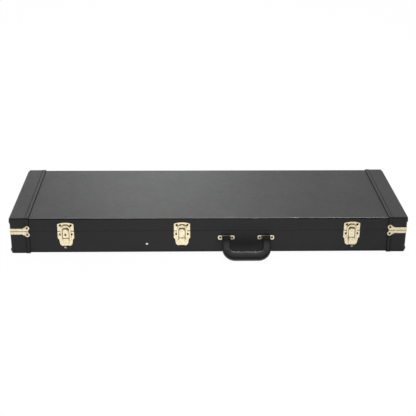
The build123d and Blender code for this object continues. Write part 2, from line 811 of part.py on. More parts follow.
# Carrying handle, at rest swung out until its grip is just above the floor
floor_below = -(cap_thickness + welt_rise)
grip_nose = (grip_half_thickness ** 2 + grip_half_height ** 2) / (2 * grip_half_height)
nose_reach = grip_radius + grip_half_height - grip_nose
handle_tilt = degrees(acos((handle_pivot_height - floor_below - handle_floor_gap - grip_nose) / nose_reach))
print("handle tilt at rest", round(handle_tilt, 2))
pivot_y = front_y - handle_pivot_depth
handle_plane = Plane(origin=(handle_x, pivot_y, handle_pivot_height), x_dir=(1, 0, 0),
                     z_dir=(0, cos(radians(handle_tilt)), -sin(radians(handle_tilt))))
handle_side = Plane(origin=(handle_x, pivot_y, handle_pivot_height),
                    x_dir=(0, -sin(radians(handle_tilt)), -cos(radians(handle_tilt))), z_dir=(1, 0, 0))
grip_outer = grip_radius + grip_half_height
grip_inner = grip_radius - grip_half_height
arm_outer = handle_half_span + arm_width / 2
arm_inner = handle_half_span - arm_width / 2
corner_start = grip_outer - handle_corner_radius
throat_end = arm_inner - handle_throat_radius
groove_middle = throat_end * groove_middle_share
arm_swell_start = grip_inner * arm_swell_share

core_end = grip_radius + core_width / 2
with BuildPart() as handle_core:
    with BuildSketch(handle_plane) as core_outline:
        with Locations((0, (core_start + core_end) / 2)):
            Rectangle(2 * handle_half_span + core_width, core_end - core_start)
        fillet(core_outline.vertices().group_by(Axis.Y)[-1], core_corner)
        with BuildSketch(mode=Mode.SUBTRACT) as core_inside:
            with Locations((0, core_end / 2 - core_width)):
                Rectangle(2 * handle_half_span - core_width, core_end)
            fillet(core_inside.vertices().group_by(Axis.Y)[-1], core_corner - core_width)
    extrude(amount=core_half_thickness, both=True)
finish(handle_core.part, "handle_core")

with BuildPart() as handle_grip:
    with BuildSketch(handle_plane) as handle_outline:
        with BuildLine():
            Line((-arm_inner, -handle_knuckle_radius), (-arm_outer, -handle_knuckle_radius))
            Line((-arm_outer, -handle_knuckle_radius), (-arm_outer, handle_knuckle_radius))
            Line((-arm_outer, handle_knuckle_radius), (-handle_half_width, corner_start))
            RadiusArc((-handle_half_width, corner_start),
                      (-handle_half_width + handle_corner_radius, grip_outer), handle_corner_radius)
            Line((-handle_half_width + handle_corner_radius, grip_outer), (0, grip_outer))
            Line((0, grip_outer), (0, grip_inner))
            Spline((0, grip_inner), (-groove_middle, grip_inner + groove_depth), (-throat_end, grip_inner),
                   tangents=((-1, 0), (-1, 0)))
            RadiusArc((-throat_end, grip_inner),
                      (-arm_inner, grip_inner - handle_throat_radius), -handle_throat_radius)
            Line((-arm_inner, grip_inner - handle_throat_radius), (-arm_inner, -handle_knuckle_radius))
        make_face()
        mirror(about=Plane.YZ)
    extrude(amount=grip_half_thickness, both=True)
    with BuildSketch(handle_side):
        with BuildLine():
            ThreePointArc((0, -handle_knuckle_radius), (-handle_knuckle_radius, 0),
                          (0, handle_knuckle_radius))
            Polyline((0, handle_knuckle_radius), (arm_swell_start, arm_half_thickness),
                     (grip_inner, grip_half_thickness), (grip_radius, grip_half_thickness))
            ThreePointArc((grip_radius, grip_half_thickness), (grip_outer, 0),
                          (grip_radius, -grip_half_thickness))
            Polyline((grip_radius, -grip_half_thickness), (grip_inner, -grip_half_thickness),
                     (arm_swell_start, -arm_half_thickness), (0, -handle_knuckle_radius))
        make_face()
    extrude(amount=2 * handle_half_width, both=True, mode=Mode.INTERSECT)
    for side in (-1, 1):
        add(pin_along_x(handle_x + side * handle_half_span, pivot_y, handle_pivot_height,
                        handle_pin_radius + running_fit, knuckle_width), mode=Mode.SUBTRACT)
    add(handle_core.part, mode=Mode.SUBTRACT)
finish(handle_grip.part, "handle_grip")


def bracket(x):
    """A riveted plate whose two ears hold the pin of one handle knuckle."""
    ear_inner = knuckle_width / 2 + bracket_ear_gap
    ear_tip = handle_pivot_depth + bracket_ear_radius
    pin_level = handle_pivot_height - parting_height
    with BuildPart() as piece:
        with BuildSketch(front_plane(x)):
            with Locations((0, pin_level)):
                RectangleRounded(bracket_length, bracket_height, bracket_corner)
        extrude(amount=bracket_thickness)
        for side in (-1, 1):
            with BuildSketch(side_plane(x).offset(side * (ear_inner + bracket_ear_thickness / 2))):
                with Locations((0, pin_level)):
                    Polygon((0, -bracket_ear_radius), (handle_pivot_depth, -bracket_ear_radius),
                            (ear_tip, -bracket_ear_radius / 2), (ear_tip, bracket_ear_radius / 2),
                            (handle_pivot_depth, bracket_ear_radius), (0, bracket_ear_radius),
                            align=None)
            extrude(amount=bracket_ear_thickness / 2, both=True)
        add(pin_along_x(x, pivot_y, handle_pivot_height, handle_pin_radius,
                        ear_inner + bracket_ear_thickness))
    return piece.part


for side, side_name in ((-1, "left"), (1, "right")):
    finish(bracket(handle_x + side * handle_half_span), f"handle_bracket_{side_name}")


# Fasteners
def rivets(half_span, level):
    """The rivet heads on one plate of each latch."""
    with BuildPart() as heads:
        for latch_x in latch_positions.values():
            for side in (-1, 1):
                spot = (latch_x + side * half_span, front_y - plate_thickness, parting_height + level)
                add(head(Plane(origin=spot, z_dir=(0, -1, 0)), rivet_radius, rivet_height))
    return heads.part


finish(rivets(base_rivet_half_span, base_rivet_height), "body_rivets")
finish(rivets(strike_rivet_half_span, strike_rivet_height), "lid_rivets")

with BuildPart() as body_eyelets:
    add(strap_eyelets(-1))
    for side in (-1, 1):
        for offset in (-bracket_eyelet_half_span, bracket_eyelet_half_span):
            bracket_x = handle_x + side * handle_half_span
            spot = (bracket_x + offset, front_y - bracket_thickness, handle_pivot_height)
            add(head(Plane(origin=spot, z_dir=(0, -1, 0)), eyelet_radius, eyelet_height))
finish(body_eyelets.part, "body_eyelets")
finish(strap_eyelets(1), "lid_eyelets")

with BuildPart() as neck_rest_nail:
    add(head(Plane(origin=(nail_x, front_y, nail_z), z_dir=(0, -1, 0)), nail_radius, nail_height))
finish(neck_rest_nail.part, "neck_rest_nail")
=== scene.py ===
import json
from math import copysign, cos, pi, radians, sin, sqrt

import bmesh
import bpy
from mathutils import Matrix, Vector


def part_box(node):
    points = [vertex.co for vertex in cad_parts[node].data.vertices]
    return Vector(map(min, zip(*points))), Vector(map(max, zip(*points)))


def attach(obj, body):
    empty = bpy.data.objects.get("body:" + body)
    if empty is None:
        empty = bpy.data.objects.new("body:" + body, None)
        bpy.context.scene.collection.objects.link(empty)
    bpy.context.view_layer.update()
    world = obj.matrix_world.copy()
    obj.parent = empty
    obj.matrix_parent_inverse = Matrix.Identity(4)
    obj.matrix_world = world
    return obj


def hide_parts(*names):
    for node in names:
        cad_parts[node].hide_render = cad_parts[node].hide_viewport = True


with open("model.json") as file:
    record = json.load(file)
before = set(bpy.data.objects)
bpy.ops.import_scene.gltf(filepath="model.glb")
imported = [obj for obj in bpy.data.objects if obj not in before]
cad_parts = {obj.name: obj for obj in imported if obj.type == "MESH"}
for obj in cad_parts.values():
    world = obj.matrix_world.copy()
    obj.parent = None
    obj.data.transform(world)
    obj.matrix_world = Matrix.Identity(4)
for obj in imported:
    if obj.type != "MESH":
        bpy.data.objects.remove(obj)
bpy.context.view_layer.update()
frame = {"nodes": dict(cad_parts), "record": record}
nodes = frame["nodes"]

# Sizes in metres, repeated from the CAD model
MM = 0.001
HALF_LENGTH = 510.5 * MM
HALF_WIDTH = 169.5 * MM
HEIGHT = 96.0 * MM
PARTING = 61.0 * MM
PARTING_GAP = 0.5 * MM
AXIS_Z = PARTING + PARTING_GAP / 2
CAP_REACH = 46.5 * MM
CORNER_RADIUS = 2.6 * MM
EDGE_RADIUS = 2.0 * MM
CAP_THICKNESS = 1.8 * MM
WELT_RISE = 0.8 * MM
WELT_WIDTH = 10.0 * MM
WELT_STOP = 17.0 * MM
WELT_OUT = CAP_THICKNESS + WELT_RISE
FLOOR_Z = -2.6 * MM
LATCHES = (-370.0 * MM, -71.0 * MM, 369.0 * MM)
HINGES = (-330.0 * MM, 0.0, 330.0 * MM)
HANDLE_X = 95.0 * MM
HANDLE_HALF_SPAN = 51.4 * MM
HANDLE_PIVOT_Z = 41.4 * MM
PLATE_Y = -HALF_WIDTH - 0.9 * MM
BRACKET_Y = -HALF_WIDTH - 1.2 * MM
LEAF_Y = HALF_WIDTH + 1.2 * MM
FRONT = (0, -1, 0)
BACK = (0, 1, 0)
# The case's corners as seen from above, as signs of x and y
CORNERS = ((-1, -1), (-1, 1), (1, -1), (1, 1))


# Node material helpers
def material(name, colour, roughness, metallic=0.0):
    """A new material with the values that are the same all over set on its shader."""
    made = bpy.data.materials.new(name)
    made.use_nodes = True
    shader = made.node_tree.nodes["Principled BSDF"]
    shader.inputs["Base Color"].default_value = (*colour, 1)
    shader.inputs["Roughness"].default_value = roughness
    shader.inputs["Metallic"].default_value = metallic
    return made, made.node_tree, shader


def add_node(tree, kind, **settings):
    made = tree.nodes.new(kind)
    for name, value in settings.items():
        setattr(made, name, value)
    return made


def feed(tree, slot, value):
    """Links a socket into a slot, or sets a number or a colour there."""
    if isinstance(value, bpy.types.NodeSocket):
        tree.links.new(value, slot)
    else:
        slot.default_value = (*value, 1) if isinstance(value, tuple) else value


def place(tree, stretch=(1, 1, 1)):
    """Positions on the object itself, so that a pattern moves with its piece."""
    coords = add_node(tree, "ShaderNodeTexCoord")
    mapping = add_node(tree, "ShaderNodeMapping")
    mapping.inputs["Scale"].default_value = stretch
    tree.links.new(coords.outputs["Object"], mapping.inputs["Vector"])
    return mapping.outputs["Vector"]


def own_axes(tree):
    """The position on the object itself, with a socket for each of X, Y and Z."""
    parts = add_node(tree, "ShaderNodeSeparateXYZ")
    tree.links.new(place(tree), parts.inputs["Vector"])
    return parts.outputs


def noise(tree, vector, scale, detail=3.0, roughness=0.55):
    made = add_node(tree, "ShaderNodeTexNoise")
    made.inputs["Scale"].default_value = scale
    made.inputs["Detail"].default_value = detail
    made.inputs["Roughness"].default_value = roughness
    tree.links.new(vector, made.inputs["Vector"])
    return made.outputs["Fac"]


def cells(tree, vector, scale):
    made = add_node(tree, "ShaderNodeTexVoronoi", feature="F1")
    made.inputs["Scale"].default_value = scale
    tree.links.new(vector, made.inputs["Vector"])
    return made.outputs["Distance"]


def spread(tree, value, low, high, out_low=0.0, out_high=1.0):
    """The range low to high mapped to another range, and held at its ends."""
    made = add_node(tree, "ShaderNodeMapRange")
    limits = {"From Min": low, "From Max": high, "To Min": out_low, "To Max": out_high}
    for key, limit in limits.items():
        feed(tree, made.inputs[key], limit)
    tree.links.new(value, made.inputs["Value"])
    return made.outputs["Result"]


def ramp(tree, value, stops):
    """Colours given as (position, colour) stops."""
    made = add_node(tree, "ShaderNodeValToRGB")
    elements = made.color_ramp.elements
    while len(elements) < len(stops):
        elements.new(0.5)
    for element, (position, colour) in zip(elements, stops):
        element.position = position
        element.color = (*colour, 1)
    tree.links.new(value, made.inputs["Fac"])
    return made.outputs["Color"]


def grey_ramp(tree, value, stops):
    """Numbers given as (position, level) stops."""
    return ramp(tree, value, [(position, (level, level, level)) for position, level in stops])


def combine(tree, operation, first, second):
    """A math node on two inputs, each a socket or a number."""
    made = add_node(tree, "ShaderNodeMath", operation=operation)
    feed(tree, made.inputs[0], first)
    feed(tree, made.inputs[1], second)
    return made.outputs[0]


def add_values(tree, first, second, weight):
    return combine(tree, "ADD", first, combine(tree, "MULTIPLY", second, weight))


# First input and output of a mix node for each type of data
MIX_SOCKETS = {"FLOAT": (2, 0), "RGBA": (6, 2)}


def blend(tree, share, first, second, data="FLOAT"):
    """A mix of two numbers or two colours, each a socket or a constant."""
    made = add_node(tree, "ShaderNodeMix", data_type=data)
    start, result = MIX_SOCKETS[data]
    for index, value in ((0, share), (start, first), (start + 1, second)):
        feed(tree, made.inputs[index], value)
    return made.outputs[result]


def bump(tree, shader, height, depth, strength=1.0):
    made = add_node(tree, "ShaderNodeBump")
    made.inputs["Distance"].default_value = depth
    made.inputs["Strength"].default_value = strength
    tree.links.new(height, made.inputs["Height"])
    tree.links.new(made.outputs["Normal"], shader.inputs["Normal"])


def two_tone(tree, shader, value, dark_stop, light_stop):
    """Base colour between two (position, colour) stops."""
    skin = ramp(tree, value, (dark_stop, light_stop))
    tree.links.new(skin, shader.inputs["Base Color"])
    return skin


def uneven_gloss(tree, shader, value, low, high):
    """Roughness that follows a noise between two levels."""
    level = spread(tree, value, 0.3, 0.7, low, high)
    tree.links.new(level, shader.inputs["Roughness"])
    return level


def brighter(colour, factor):
    return tuple(c * factor for c in colour)


# The lid's near upper edge is polished on its crest and dull below, and towards the right its
# crest is painted a lighter grey as a painted highlight.
# Each pair is the range along one axis over which that grows from none to full.
CREST_NEAR = (-HALF_WIDTH + 3.0 * MM, -HALF_WIDTH + 2.0 * MM)
CREST_HIGH = (HEIGHT - 0.45 * MM, HEIGHT - 0.24 * MM)
EDGE_BAND = (HEIGHT - 3.0 * MM, HEIGHT)
PAINTED_HIGHLIGHT_START = (-60.0 * MM, 140.0 * MM)
CREST_PAINTED_HIGHLIGHT_GREY = (0.17, 0.17, 0.165)
WORN_ROUGHNESS = 0.20
WORN_SHEEN = 1.0
UNDER_SHEEN = 0.05


def polish_and_painted_highlight_edge(tree, shader, cloth, level, sheen):
    """Changes the colour, roughness and specular level of a cloth along the edge; the lighter grey
    colour is a painted highlight.
    """
    axes = own_axes(tree)
    near = spread(tree, axes["Y"], *CREST_NEAR)
    crest = combine(tree, "MULTIPLY", near, spread(tree, axes["Z"], *CREST_HIGH))
    steps = ((0.0, sheen), (0.15, UNDER_SHEEN), (0.85, UNDER_SHEEN), (0.92, WORN_SHEEN),
             (1.0, WORN_SHEEN))
    shine = grey_ramp(tree, spread(tree, axes["Z"], *EDGE_BAND), steps)
    tree.links.new(blend(tree, near, sheen, shine), shader.inputs["Specular IOR Level"])
    # Painted highlight: the crest's base colour turns lighter grey towards the right
    painted_highlight = combine(tree, "MULTIPLY", crest, spread(tree, axes["X"], *PAINTED_HIGHLIGHT_START))
    skin = blend(tree, painted_highlight, cloth, CREST_PAINTED_HIGHLIGHT_GREY, "RGBA")
    tree.links.new(skin, shader.inputs["Base Color"])
    tree.links.new(blend(tree, crest, level, WORN_ROUGHNESS), shader.inputs["Roughness"])


def leathercloth(name, dark, light, roughness, grain, sheen=0.3, worn=False):
    """Vinyl leathercloth: a fine pebble grain, slow colour changes and light scuffs."""
    made, tree, shader = material(name, dark, roughness)
    shader.inputs["Specular IOR Level"].default_value = sheen
    where = place(tree)
    cloth = two_tone(tree, shader, noise(tree, where, 9.0, 4.0), (0.35, dark), (0.7, light))
    scuffs = noise(tree, place(tree, (0.8, 1.0, 1.0)), 90.0, 5.0, 0.7)
    level = uneven_gloss(tree, shader, scuffs, roughness - 0.03, roughness + 0.04)
    # The worn edge adds a painted highlight along the lid's near edge
    if worn:
        polish_and_painted_highlight_edge(tree, shader, cloth, level, sheen)
    fine = noise(tree, where, grain * 2.5, 2.0)
    bump(tree, shader, add_values(tree, cells(tree, where, grain), fine, 0.5), 0.22 * MM, 0.7)
    return made


# Finger tabs of the three latch levers: below TAB_TOP each is painted dark from one x to another,
# as painted shade and painted dark reflection
TAB_TOP = PARTING - 37.0 * MM
TAB_FADE = 2.0 * MM
SPAN_FADE = 0.4 * MM
DARK_SPANS = ((0.8 * MM, 9.0 * MM), (-9.0 * MM, 9.0 * MM), (-9.0 * MM, -1.2 * MM))
TAB_PAINTED_SHADE = (0.09, 0.085, 0.035)


def tabs_painted_dark(tree):
    """One where the tabs are painted dark as shade and reflection: part of the outer two and all
    of the middle one.
    """
    axes = own_axes(tree)
    total = 0.0
    for centre, (start, end) in zip(LATCHES, DARK_SPANS):
        start, end = centre + start, centre + end
        after = spread(tree, axes["X"], start - SPAN_FADE, start + SPAN_FADE)
        before = spread(tree, axes["X"], end - SPAN_FADE, end + SPAN_FADE, 1.0, 0.0)
        total = combine(tree, "ADD", total, combine(tree, "MULTIPLY", after, before))
    low = spread(tree, axes["Z"], TAB_TOP, TAB_TOP - TAB_FADE)
    return combine(tree, "MULTIPLY", low, total)


# Brown where ambient occlusion finds hollows: partly tarnish, partly painted shade in gaps and
# crevices
CREVICE_REACH = 2.2 * MM
CREVICE_TARNISH_AND_SHADE_BROWN = (0.20, 0.115, 0.04)
AGED_SHARES = (0.62, 0.57, 0.46)


def plated_brass(name, colour, roughness, tabs=False, crevice_reach=CREVICE_REACH):
    """Bright brass plate with fine brushing, slight tarnish, and brown crevices that are partly
    tarnish and partly painted shade; optionally painted shade on the lever tabs.
    """
    made, tree, shader = material(name, colour, roughness, 1.0)
    tarnish = noise(tree, place(tree), 240.0, 4.0, 0.6)
    aged = tuple(c * share for c, share in zip(colour, AGED_SHARES))
    crevice = add_node(tree, "ShaderNodeAmbientOcclusion", samples=6)
    crevice.inputs["Distance"].default_value = crevice_reach
    # Painted shade: the colour goes brown where ambient occlusion is low
    open_share = spread(tree, crevice.outputs["AO"], 0.40, 0.86)
    worn = ramp(tree, tarnish, ((0.44, colour), (0.72, aged)))
    skin = blend(tree, open_share, CREVICE_TARNISH_AND_SHADE_BROWN, worn, "RGBA")
    # Painted shade and dark reflection on the lever tabs
    if tabs:
        skin = blend(tree, tabs_painted_dark(tree), skin, TAB_PAINTED_SHADE, "RGBA")
    tree.links.new(skin, shader.inputs["Base Color"])
    brushing = noise(tree, place(tree, (1.0, 1.0, 0.06)), 5200.0, 2.0)
    uneven_gloss(tree, shader, brushing, roughness - 0.05, roughness + 0.07)
    bump(tree, shader, brushing, 0.02 * MM, 0.5)
    return made


# The handle's arms go dull towards their knuckles
DULL_REACH = 21.0 * MM
DULL_STEPS = ((0.0, 0.5), (0.3, 0.33), (0.79, 0.28), (1.0, 0.08))


def moulded_plastic(name, colour, roughness, dull_from=None):
    """Moulded plastic with a faint leather texture; it can go dull above a height."""
    made, tree, shader = material(name, colour, roughness)
    where = place(tree)
    two_tone(tree, shader, noise(tree, where, 30.0), (0.4, colour), (0.7, brighter(colour, 1.35)))
    uneven_gloss(tree, shader, noise(tree, where, 210.0), roughness - 0.04, roughness + 0.06)
    bump(tree, shader, cells(tree, where, 1500.0), 0.12 * MM, 0.5)
    if dull_from is not None:
        share = spread(tree, own_axes(tree)["Z"], dull_from, dull_from + DULL_REACH)
        level = grey_ramp(tree, share, DULL_STEPS)
        tree.links.new(level, shader.inputs["Specular IOR Level"])
    return made


def plush(name, colour):
    """Short pile plush: soft sheen, mottled nap and fine fibres."""
    made, tree, shader = material(name, colour, 0.95)
    shader.inputs["Sheen Weight"].default_value = 0.6
    shader.inputs["Sheen Roughness"].default_value = 0.45
    where = place(tree)
    nap = add_values(tree, noise(tree, where, 26.0, 4.0), noise(tree, where, 900.0, 2.0), 0.35)
    two_tone(tree, shader, nap, (0.45, colour), (0.95, brighter(colour, 1.9)))
    bump(tree, shader, noise(tree, where, 2200.0, 3.0, 0.7), 0.7 * MM, 0.8)
    return made


def plywood(name):
    """Bare birch plywood with long grain and faint plies."""
    made, tree, shader = material(name, (0.55, 0.40, 0.24), 0.6)
    grain = noise(tree, place(tree, (0.05, 1.0, 1.0)), 220.0, 6.0, 0.65)
    two_tone(tree, shader, grain, (0.3, (0.42, 0.29, 0.16)), (0.72, (0.66, 0.50, 0.32)))
    bump(tree, shader, grain, 0.1 * MM, 0.4)
    return made


def thread(name, colour):
    """Twisted sewing thread."""
    made, tree, shader = material(name, colour, 0.65)
    wave = add_node(tree, "ShaderNodeTexWave", bands_direction="DIAGONAL")
    wave.inputs["Scale"].default_value = 900.0
    tree.links.new(place(tree), wave.inputs["Vector"])
    twist = wave.outputs["Fac"]
    two_tone(tree, shader, twist, (0.3, colour), (0.8, brighter(colour, 1.6)))
    bump(tree, shader, twist, 0.1 * MM, 0.6)
    return made


def plain_steel(name, colour):
    """Dull rolled steel."""
    made, tree, shader = material(name, colour, 0.4, 1.0)
    mill = noise(tree, place(tree, (1.0, 0.1, 1.0)), 900.0)
    uneven_gloss(tree, shader, mill, 0.34, 0.5)
    bump(tree, shader, mill, 0.03 * MM, 0.4)
    return made


def hole_dark(name, colour, dust):
    """The unlit inside of a hole, with a little dust."""
    made, tree, shader = material(name, colour, 0.8)
    shader.inputs["Specular IOR Level"].default_value = 0.0
    two_tone(tree, shader, noise(tree, place(tree), 700.0), (0.4, colour), (0.8, dust))
    return made


BRASS_COLOUR = (0.91, 0.81, 0.57)
COVERING_LOOK = ((0.0125, 0.0133, 0.0128), (0.020, 0.0208, 0.0200), 0.44, 1150.0, 0.37)
CLOTH = leathercloth("leathercloth", *COVERING_LOOK)
# The lid's cloth carries the painted highlight along its near edge
LID_CLOTH = leathercloth("lid_leathercloth", *COVERING_LOOK, True)
CAP_CLOTH = leathercloth("cap_leathercloth", (0.011, 0.0112, 0.0108), (0.017, 0.0174, 0.0168),
                         0.46, 900.0, 0.38)
# Near-black matt cloth for the strips of painted shade beside the welts
SHADE_LINE_CLOTH = leathercloth("shade_line_cloth", (0.004, 0.004, 0.004), (0.008, 0.008, 0.008),
                          0.85, 1600.0, 0.1)
TAB_LEATHER = leathercloth("tab_leather", (0.018, 0.016, 0.014), (0.030, 0.026, 0.022), 0.5, 700.0)
BRASS = plated_brass("plated_brass", BRASS_COLOUR, 0.22)
# The levers' brass carries the painted shade on the finger tabs
LEVER_BRASS = plated_brass("lever_brass", BRASS_COLOUR, 0.22, True)
# The brackets' brass is a paler, brighter copy of the brass, a painted highlight, with less
# crevice shade
BRACKET_BRASS_LIT_COPY = plated_brass("bracket_brass_lit_copy", (0.97, 0.91, 0.70), 0.22, False, 0.7 * MM)
GRIP = moulded_plastic("moulded_grip", (0.010, 0.010, 0.010), 0.38, HANDLE_PIVOT_Z - DULL_REACH)
RUBBER = moulded_plastic("foot_rubber", (0.014, 0.014, 0.014), 0.6)
PLUSH = plush("black_plush", (0.024, 0.024, 0.027))
WOOD = plywood("birch_plywood")
THREAD = thread("black_thread", (0.005, 0.005, 0.005))
STEEL = plain_steel("rolled_steel", (0.45, 0.45, 0.46))
NAIL_STEEL = plain_steel("bright_nail", (0.80, 0.80, 0.80))
# Painted shade: the brackets' ears beside the knuckle are dark steel standing for shade
EAR_SHADE_STEEL = plain_steel("bracket_ear_shade_dark", (0.035, 0.032, 0.03))
HOLE = hole_dark("hole_dark", (0.012, 0.009, 0.005), (0.035, 0.027, 0.015))

MATERIAL_OF_SLOT = {
    "leathercloth": CLOTH, "cap_leathercloth": CAP_CLOTH, "plywood": WOOD, "brass": BRASS,
    "grip": GRIP, "steel": STEEL, "plush": PLUSH, "tab_leather": TAB_LEATHER,
}


# Mesh helpers
def soften(piece, width, segments=3, angle=32):
    """Rounded edges as real geometry."""
    bevel = piece.modifiers.new("rounded_edges", "BEVEL")
    bevel.width = width
    bevel.segments = segments
    bevel.limit_method = "ANGLE"
    bevel.angle_limit = radians(angle)


def shade_rounding(piece, angle=50):
    """Smooth shading over the facets of rounded edges, with the big flat faces kept flat."""
    for polygon in piece.data.polygons:
        polygon.use_smooth = True
    piece.data.set_sharp_from_angle(angle=radians(angle))
    weighted = piece.modifiers.new("flat_faces_kept", "WEIGHTED_NORMAL")
    weighted.keep_sharp = True
    weighted.weight = 100


def to_mesh(bm, name):
    """A mesh from a bmesh, with its faces turned outwards."""
    bmesh.ops.recalc_face_normals(bm, faces=bm.faces)
    mesh = bpy.data.meshes.new(name)
    bm.to_mesh(mesh)
    bm.free()
    return mesh


def add_object(name, data):
    made = bpy.data.objects.new(name, data)
    bpy.context.scene.collection.objects.link(made)
    return made


def finish_piece(bm, name, materials, body):
    """A bmesh becomes a smooth piece that rides on a body."""
    mesh = to_mesh(bm, name)
    piece = add_object(name, mesh)
    for one in materials:
        mesh.materials.append(one)
    for polygon in mesh.polygons:
        polygon.use_smooth = True
    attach(piece, body)
    return piece


def angles_to(end, steps):
    """Angles from zero to an end, in equal steps."""
    return [end * k / steps for k in range(steps + 1)]


def ring(bm, centre, first, second, size, steps):
    """A circle of vertices in the plane of two directions."""
    return [bm.verts.new(centre + (first * cos(a) + second * sin(a)) * size)
            for a in angles_to(2 * pi, steps)[:-1]]


def join_rings(bm, rings, material_index=0):
    """Faces between each ring of vertices and the next."""
    steps = len(rings[0])
    for low, high in zip(rings, rings[1:]):
        for k in range(steps):
            n = (k + 1) % steps
            face = bm.faces.new((low[k], low[n], high[n], high[k]))
            face.material_index = material_index


def join_solid(bm, rings):
    """Faces between the rings and over both ends."""
    join_rings(bm, rings)
    bm.faces.new(rings[0][::-1])
    bm.faces.new(rings[-1])


def revolve(bm, profile, origin, axis, steps, material_index=0, close=True):
    """A profile of (radius, height) pairs turned round an axis through origin."""
    axis = Vector(axis).normalized()
    side = axis.orthogonal().normalized()
    across = axis.cross(side)
    rings = [ring(bm, Vector(origin) + axis * height, side, across, radius, steps)
             for radius, height in profile]
    join_rings(bm, rings, material_index)
    if close:
        bm.faces.new(rings[-1]).material_index = material_index
    return rings


def apply_modifiers(piece):
    """Replaces a piece's mesh by what its modifiers make of it."""
    graph = bpy.context.evaluated_depsgraph_get()
    made = bpy.data.meshes.new_from_object(piece.evaluated_get(graph))
    piece.modifiers.clear()
    old = piece.data
    piece.data = made
    bpy.data.meshes.remove(old)


# Tubular rivets and eyelets as (outer radius, hole radius, height)
EYELET = (3.8 * MM, 2.3 * MM, 0.9 * MM)
RIVET = (3.5 * MM, 2.6 * MM, 0.8 * MM)
KEYHOLE = (3.1 * MM, 2.3 * MM, 0.4 * MM)
EYELET_SIDES = 28
BRACKET_EYELET_OFFSET = 16.0 * MM
KEYHOLE_SPOT = (LATCHES[0], -HALF_WIDTH - 8.1 * MM, PARTING - 7.5 * MM)
# Rivets of the base plates and strike plates as (distance to the side, height over the parting)
BASE_RIVET = (14.5 * MM, -9.0 * MM)
STRIKE_RIVET = (13.6 * MM, 16.5 * MM)


def ring_profile(outer, hole, height):
    """The section of a rolled flange: from the plate up, over and down into the hole."""
    roll = (outer - hole) / 2
    rolled = [(hole + roll + roll * cos(a), height * 0.25 + height * 0.75 * sin(a))
              for a in angles_to(pi, 8)]
    return [(outer, 0.0)] + rolled


def eyelets(name, spots, sizes, body, node_name=None):
    """Rolled eyelets with a dark hole in the middle, a shallow dark cap that is painted shade, in
    place of the CAD model's plain heads.
    """
    outer, hole, height = sizes
    bm = bmesh.new()
    for origin, outward in spots:
        revolve(bm, ring_profile(*sizes), origin, outward, EYELET_SIDES, 0, False)
        # Painted shade: a shallow cap in the unlit-hole material stands for the deep hole
        inside = [(hole, height * 0.25), (hole * 0.96, height * 0.06)]
        revolve(bm, inside, origin, outward, EYELET_SIDES, 1)
    piece = finish_piece(bm, name, (BRASS, HOLE), body)
    if node_name:
        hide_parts(node_name)


# Corner straps, bent round the corner from a flat blank, in place of the CAD model's
STRAP_X = HALF_LENGTH + CAP_THICKNESS
STRAP_Y = HALF_WIDTH + CAP_THICKNESS
STRAP_THICKNESS = 0.9 * MM
STRAP_RADIUS = CORNER_RADIUS + CAP_THICKNESS
STRAP_ARC = STRAP_RADIUS * pi / 2
STRAP_BAND = 8.1 * MM
STRAP_GAP = 0.6 * MM
STRAP_SHOULDER = 10.5 * MM
SHOULDER_START = 33.0 * MM
BAND_CUT = 29.0 * MM
STRAP_LENGTH = 47.2 * MM
STRAP_LIFT = 0.1 * MM
STRAP_BEVEL = 0.28 * MM
# The shoulder's rounded corner as (distance out from its start, drop)
SHOULDER_CORNER = ((1.6 * MM, 0.0), (0.5 * MM, 0.5 * MM))
EAR_REACH = 44.0 * MM
EAR_HEIGHT = 9.1 * MM
EAR_RADIUS = 6.2 * MM
EAR_TURN = [radians(-62 + 9.5 * k) for k in range(25)]


def strap_spots(up):
    """The eyelets of four half straps: two to a corner, on the front or back and on the end."""
    spots = []
    z = AXIS_Z + up * EAR_HEIGHT
    for sx, sy in CORNERS:
        long_side = (sx * (STRAP_X - EAR_REACH), sy * (STRAP_Y + STRAP_THICKNESS), z)
        end = (sx * (STRAP_X + STRAP_THICKNESS), sy * (STRAP_Y - EAR_REACH), z)
        spots += [(long_side, (0, sy, 0)), (end, (sx, 0, 0))]
    return spots


def rivet_spots(offset, level):
    """A rivet on each side of each latch's plate."""
    return [((x + side * offset, PLATE_Y, PARTING + level), FRONT)
            for x in LATCHES for side in (-1, 1)]


BRACKET_SPOTS = [((HANDLE_X + side * HANDLE_HALF_SPAN + offset, BRACKET_Y, HANDLE_PIVOT_Z), FRONT)
                 for side in (-1, 1)
                 for offset in (-BRACKET_EYELET_OFFSET, BRACKET_EYELET_OFFSET)]
eyelets("body_eyelet_rings", strap_spots(-1) + BRACKET_SPOTS, EYELET, "root", "body_eyelets")
eyelets("lid_eyelet_rings", strap_spots(1), EYELET, "lid", "lid_eyelets")
eyelets("body_rivet_heads", rivet_spots(*BASE_RIVET), RIVET, "root", "body_rivets")
eyelets("lid_rivet_heads", rivet_spots(*STRIKE_RIVET), RIVET, "lid", "lid_rivets")
eyelets("keyhole_ring", [(KEYHOLE_SPOT, FRONT)], KEYHOLE, "lock")


# Hinge screws whose crossed recess is painted as dark bars, painted shade, three to a leaf
SCREW_RADIUS = 2.6 * MM
SCREW_HEIGHT = 0.9 * MM
SCREW_OFFSETS = (-18.0 * MM, 0.0, 18.0 * MM)
SCREW_LEVEL = 10.0 * MM
CROSS_SIZE = (2.4 * MM, 0.12 * MM, 0.5 * MM)
CROSS_OUT = 0.88 * MM


def add_bar(bm, centre, turn, size):
    """A short dark bar on the back face, one arm of a screw's cross: painted shade in place of a
    recess.
    """
    length, height, width = size
    along = Vector((cos(turn), 0, sin(turn)))
    across = Vector((-sin(turn), 0, cos(turn)))
    made = bmesh.ops.create_cube(bm, size=1.0)
    basis = Matrix((along * length, Vector(BACK) * height, across * width)).transposed().to_4x4()
    bmesh.ops.transform(bm, matrix=Matrix.Translation(centre) @ basis, verts=made["verts"])
    for vertex in made["verts"]:
        for face in vertex.link_faces:
            face.material_index = 1


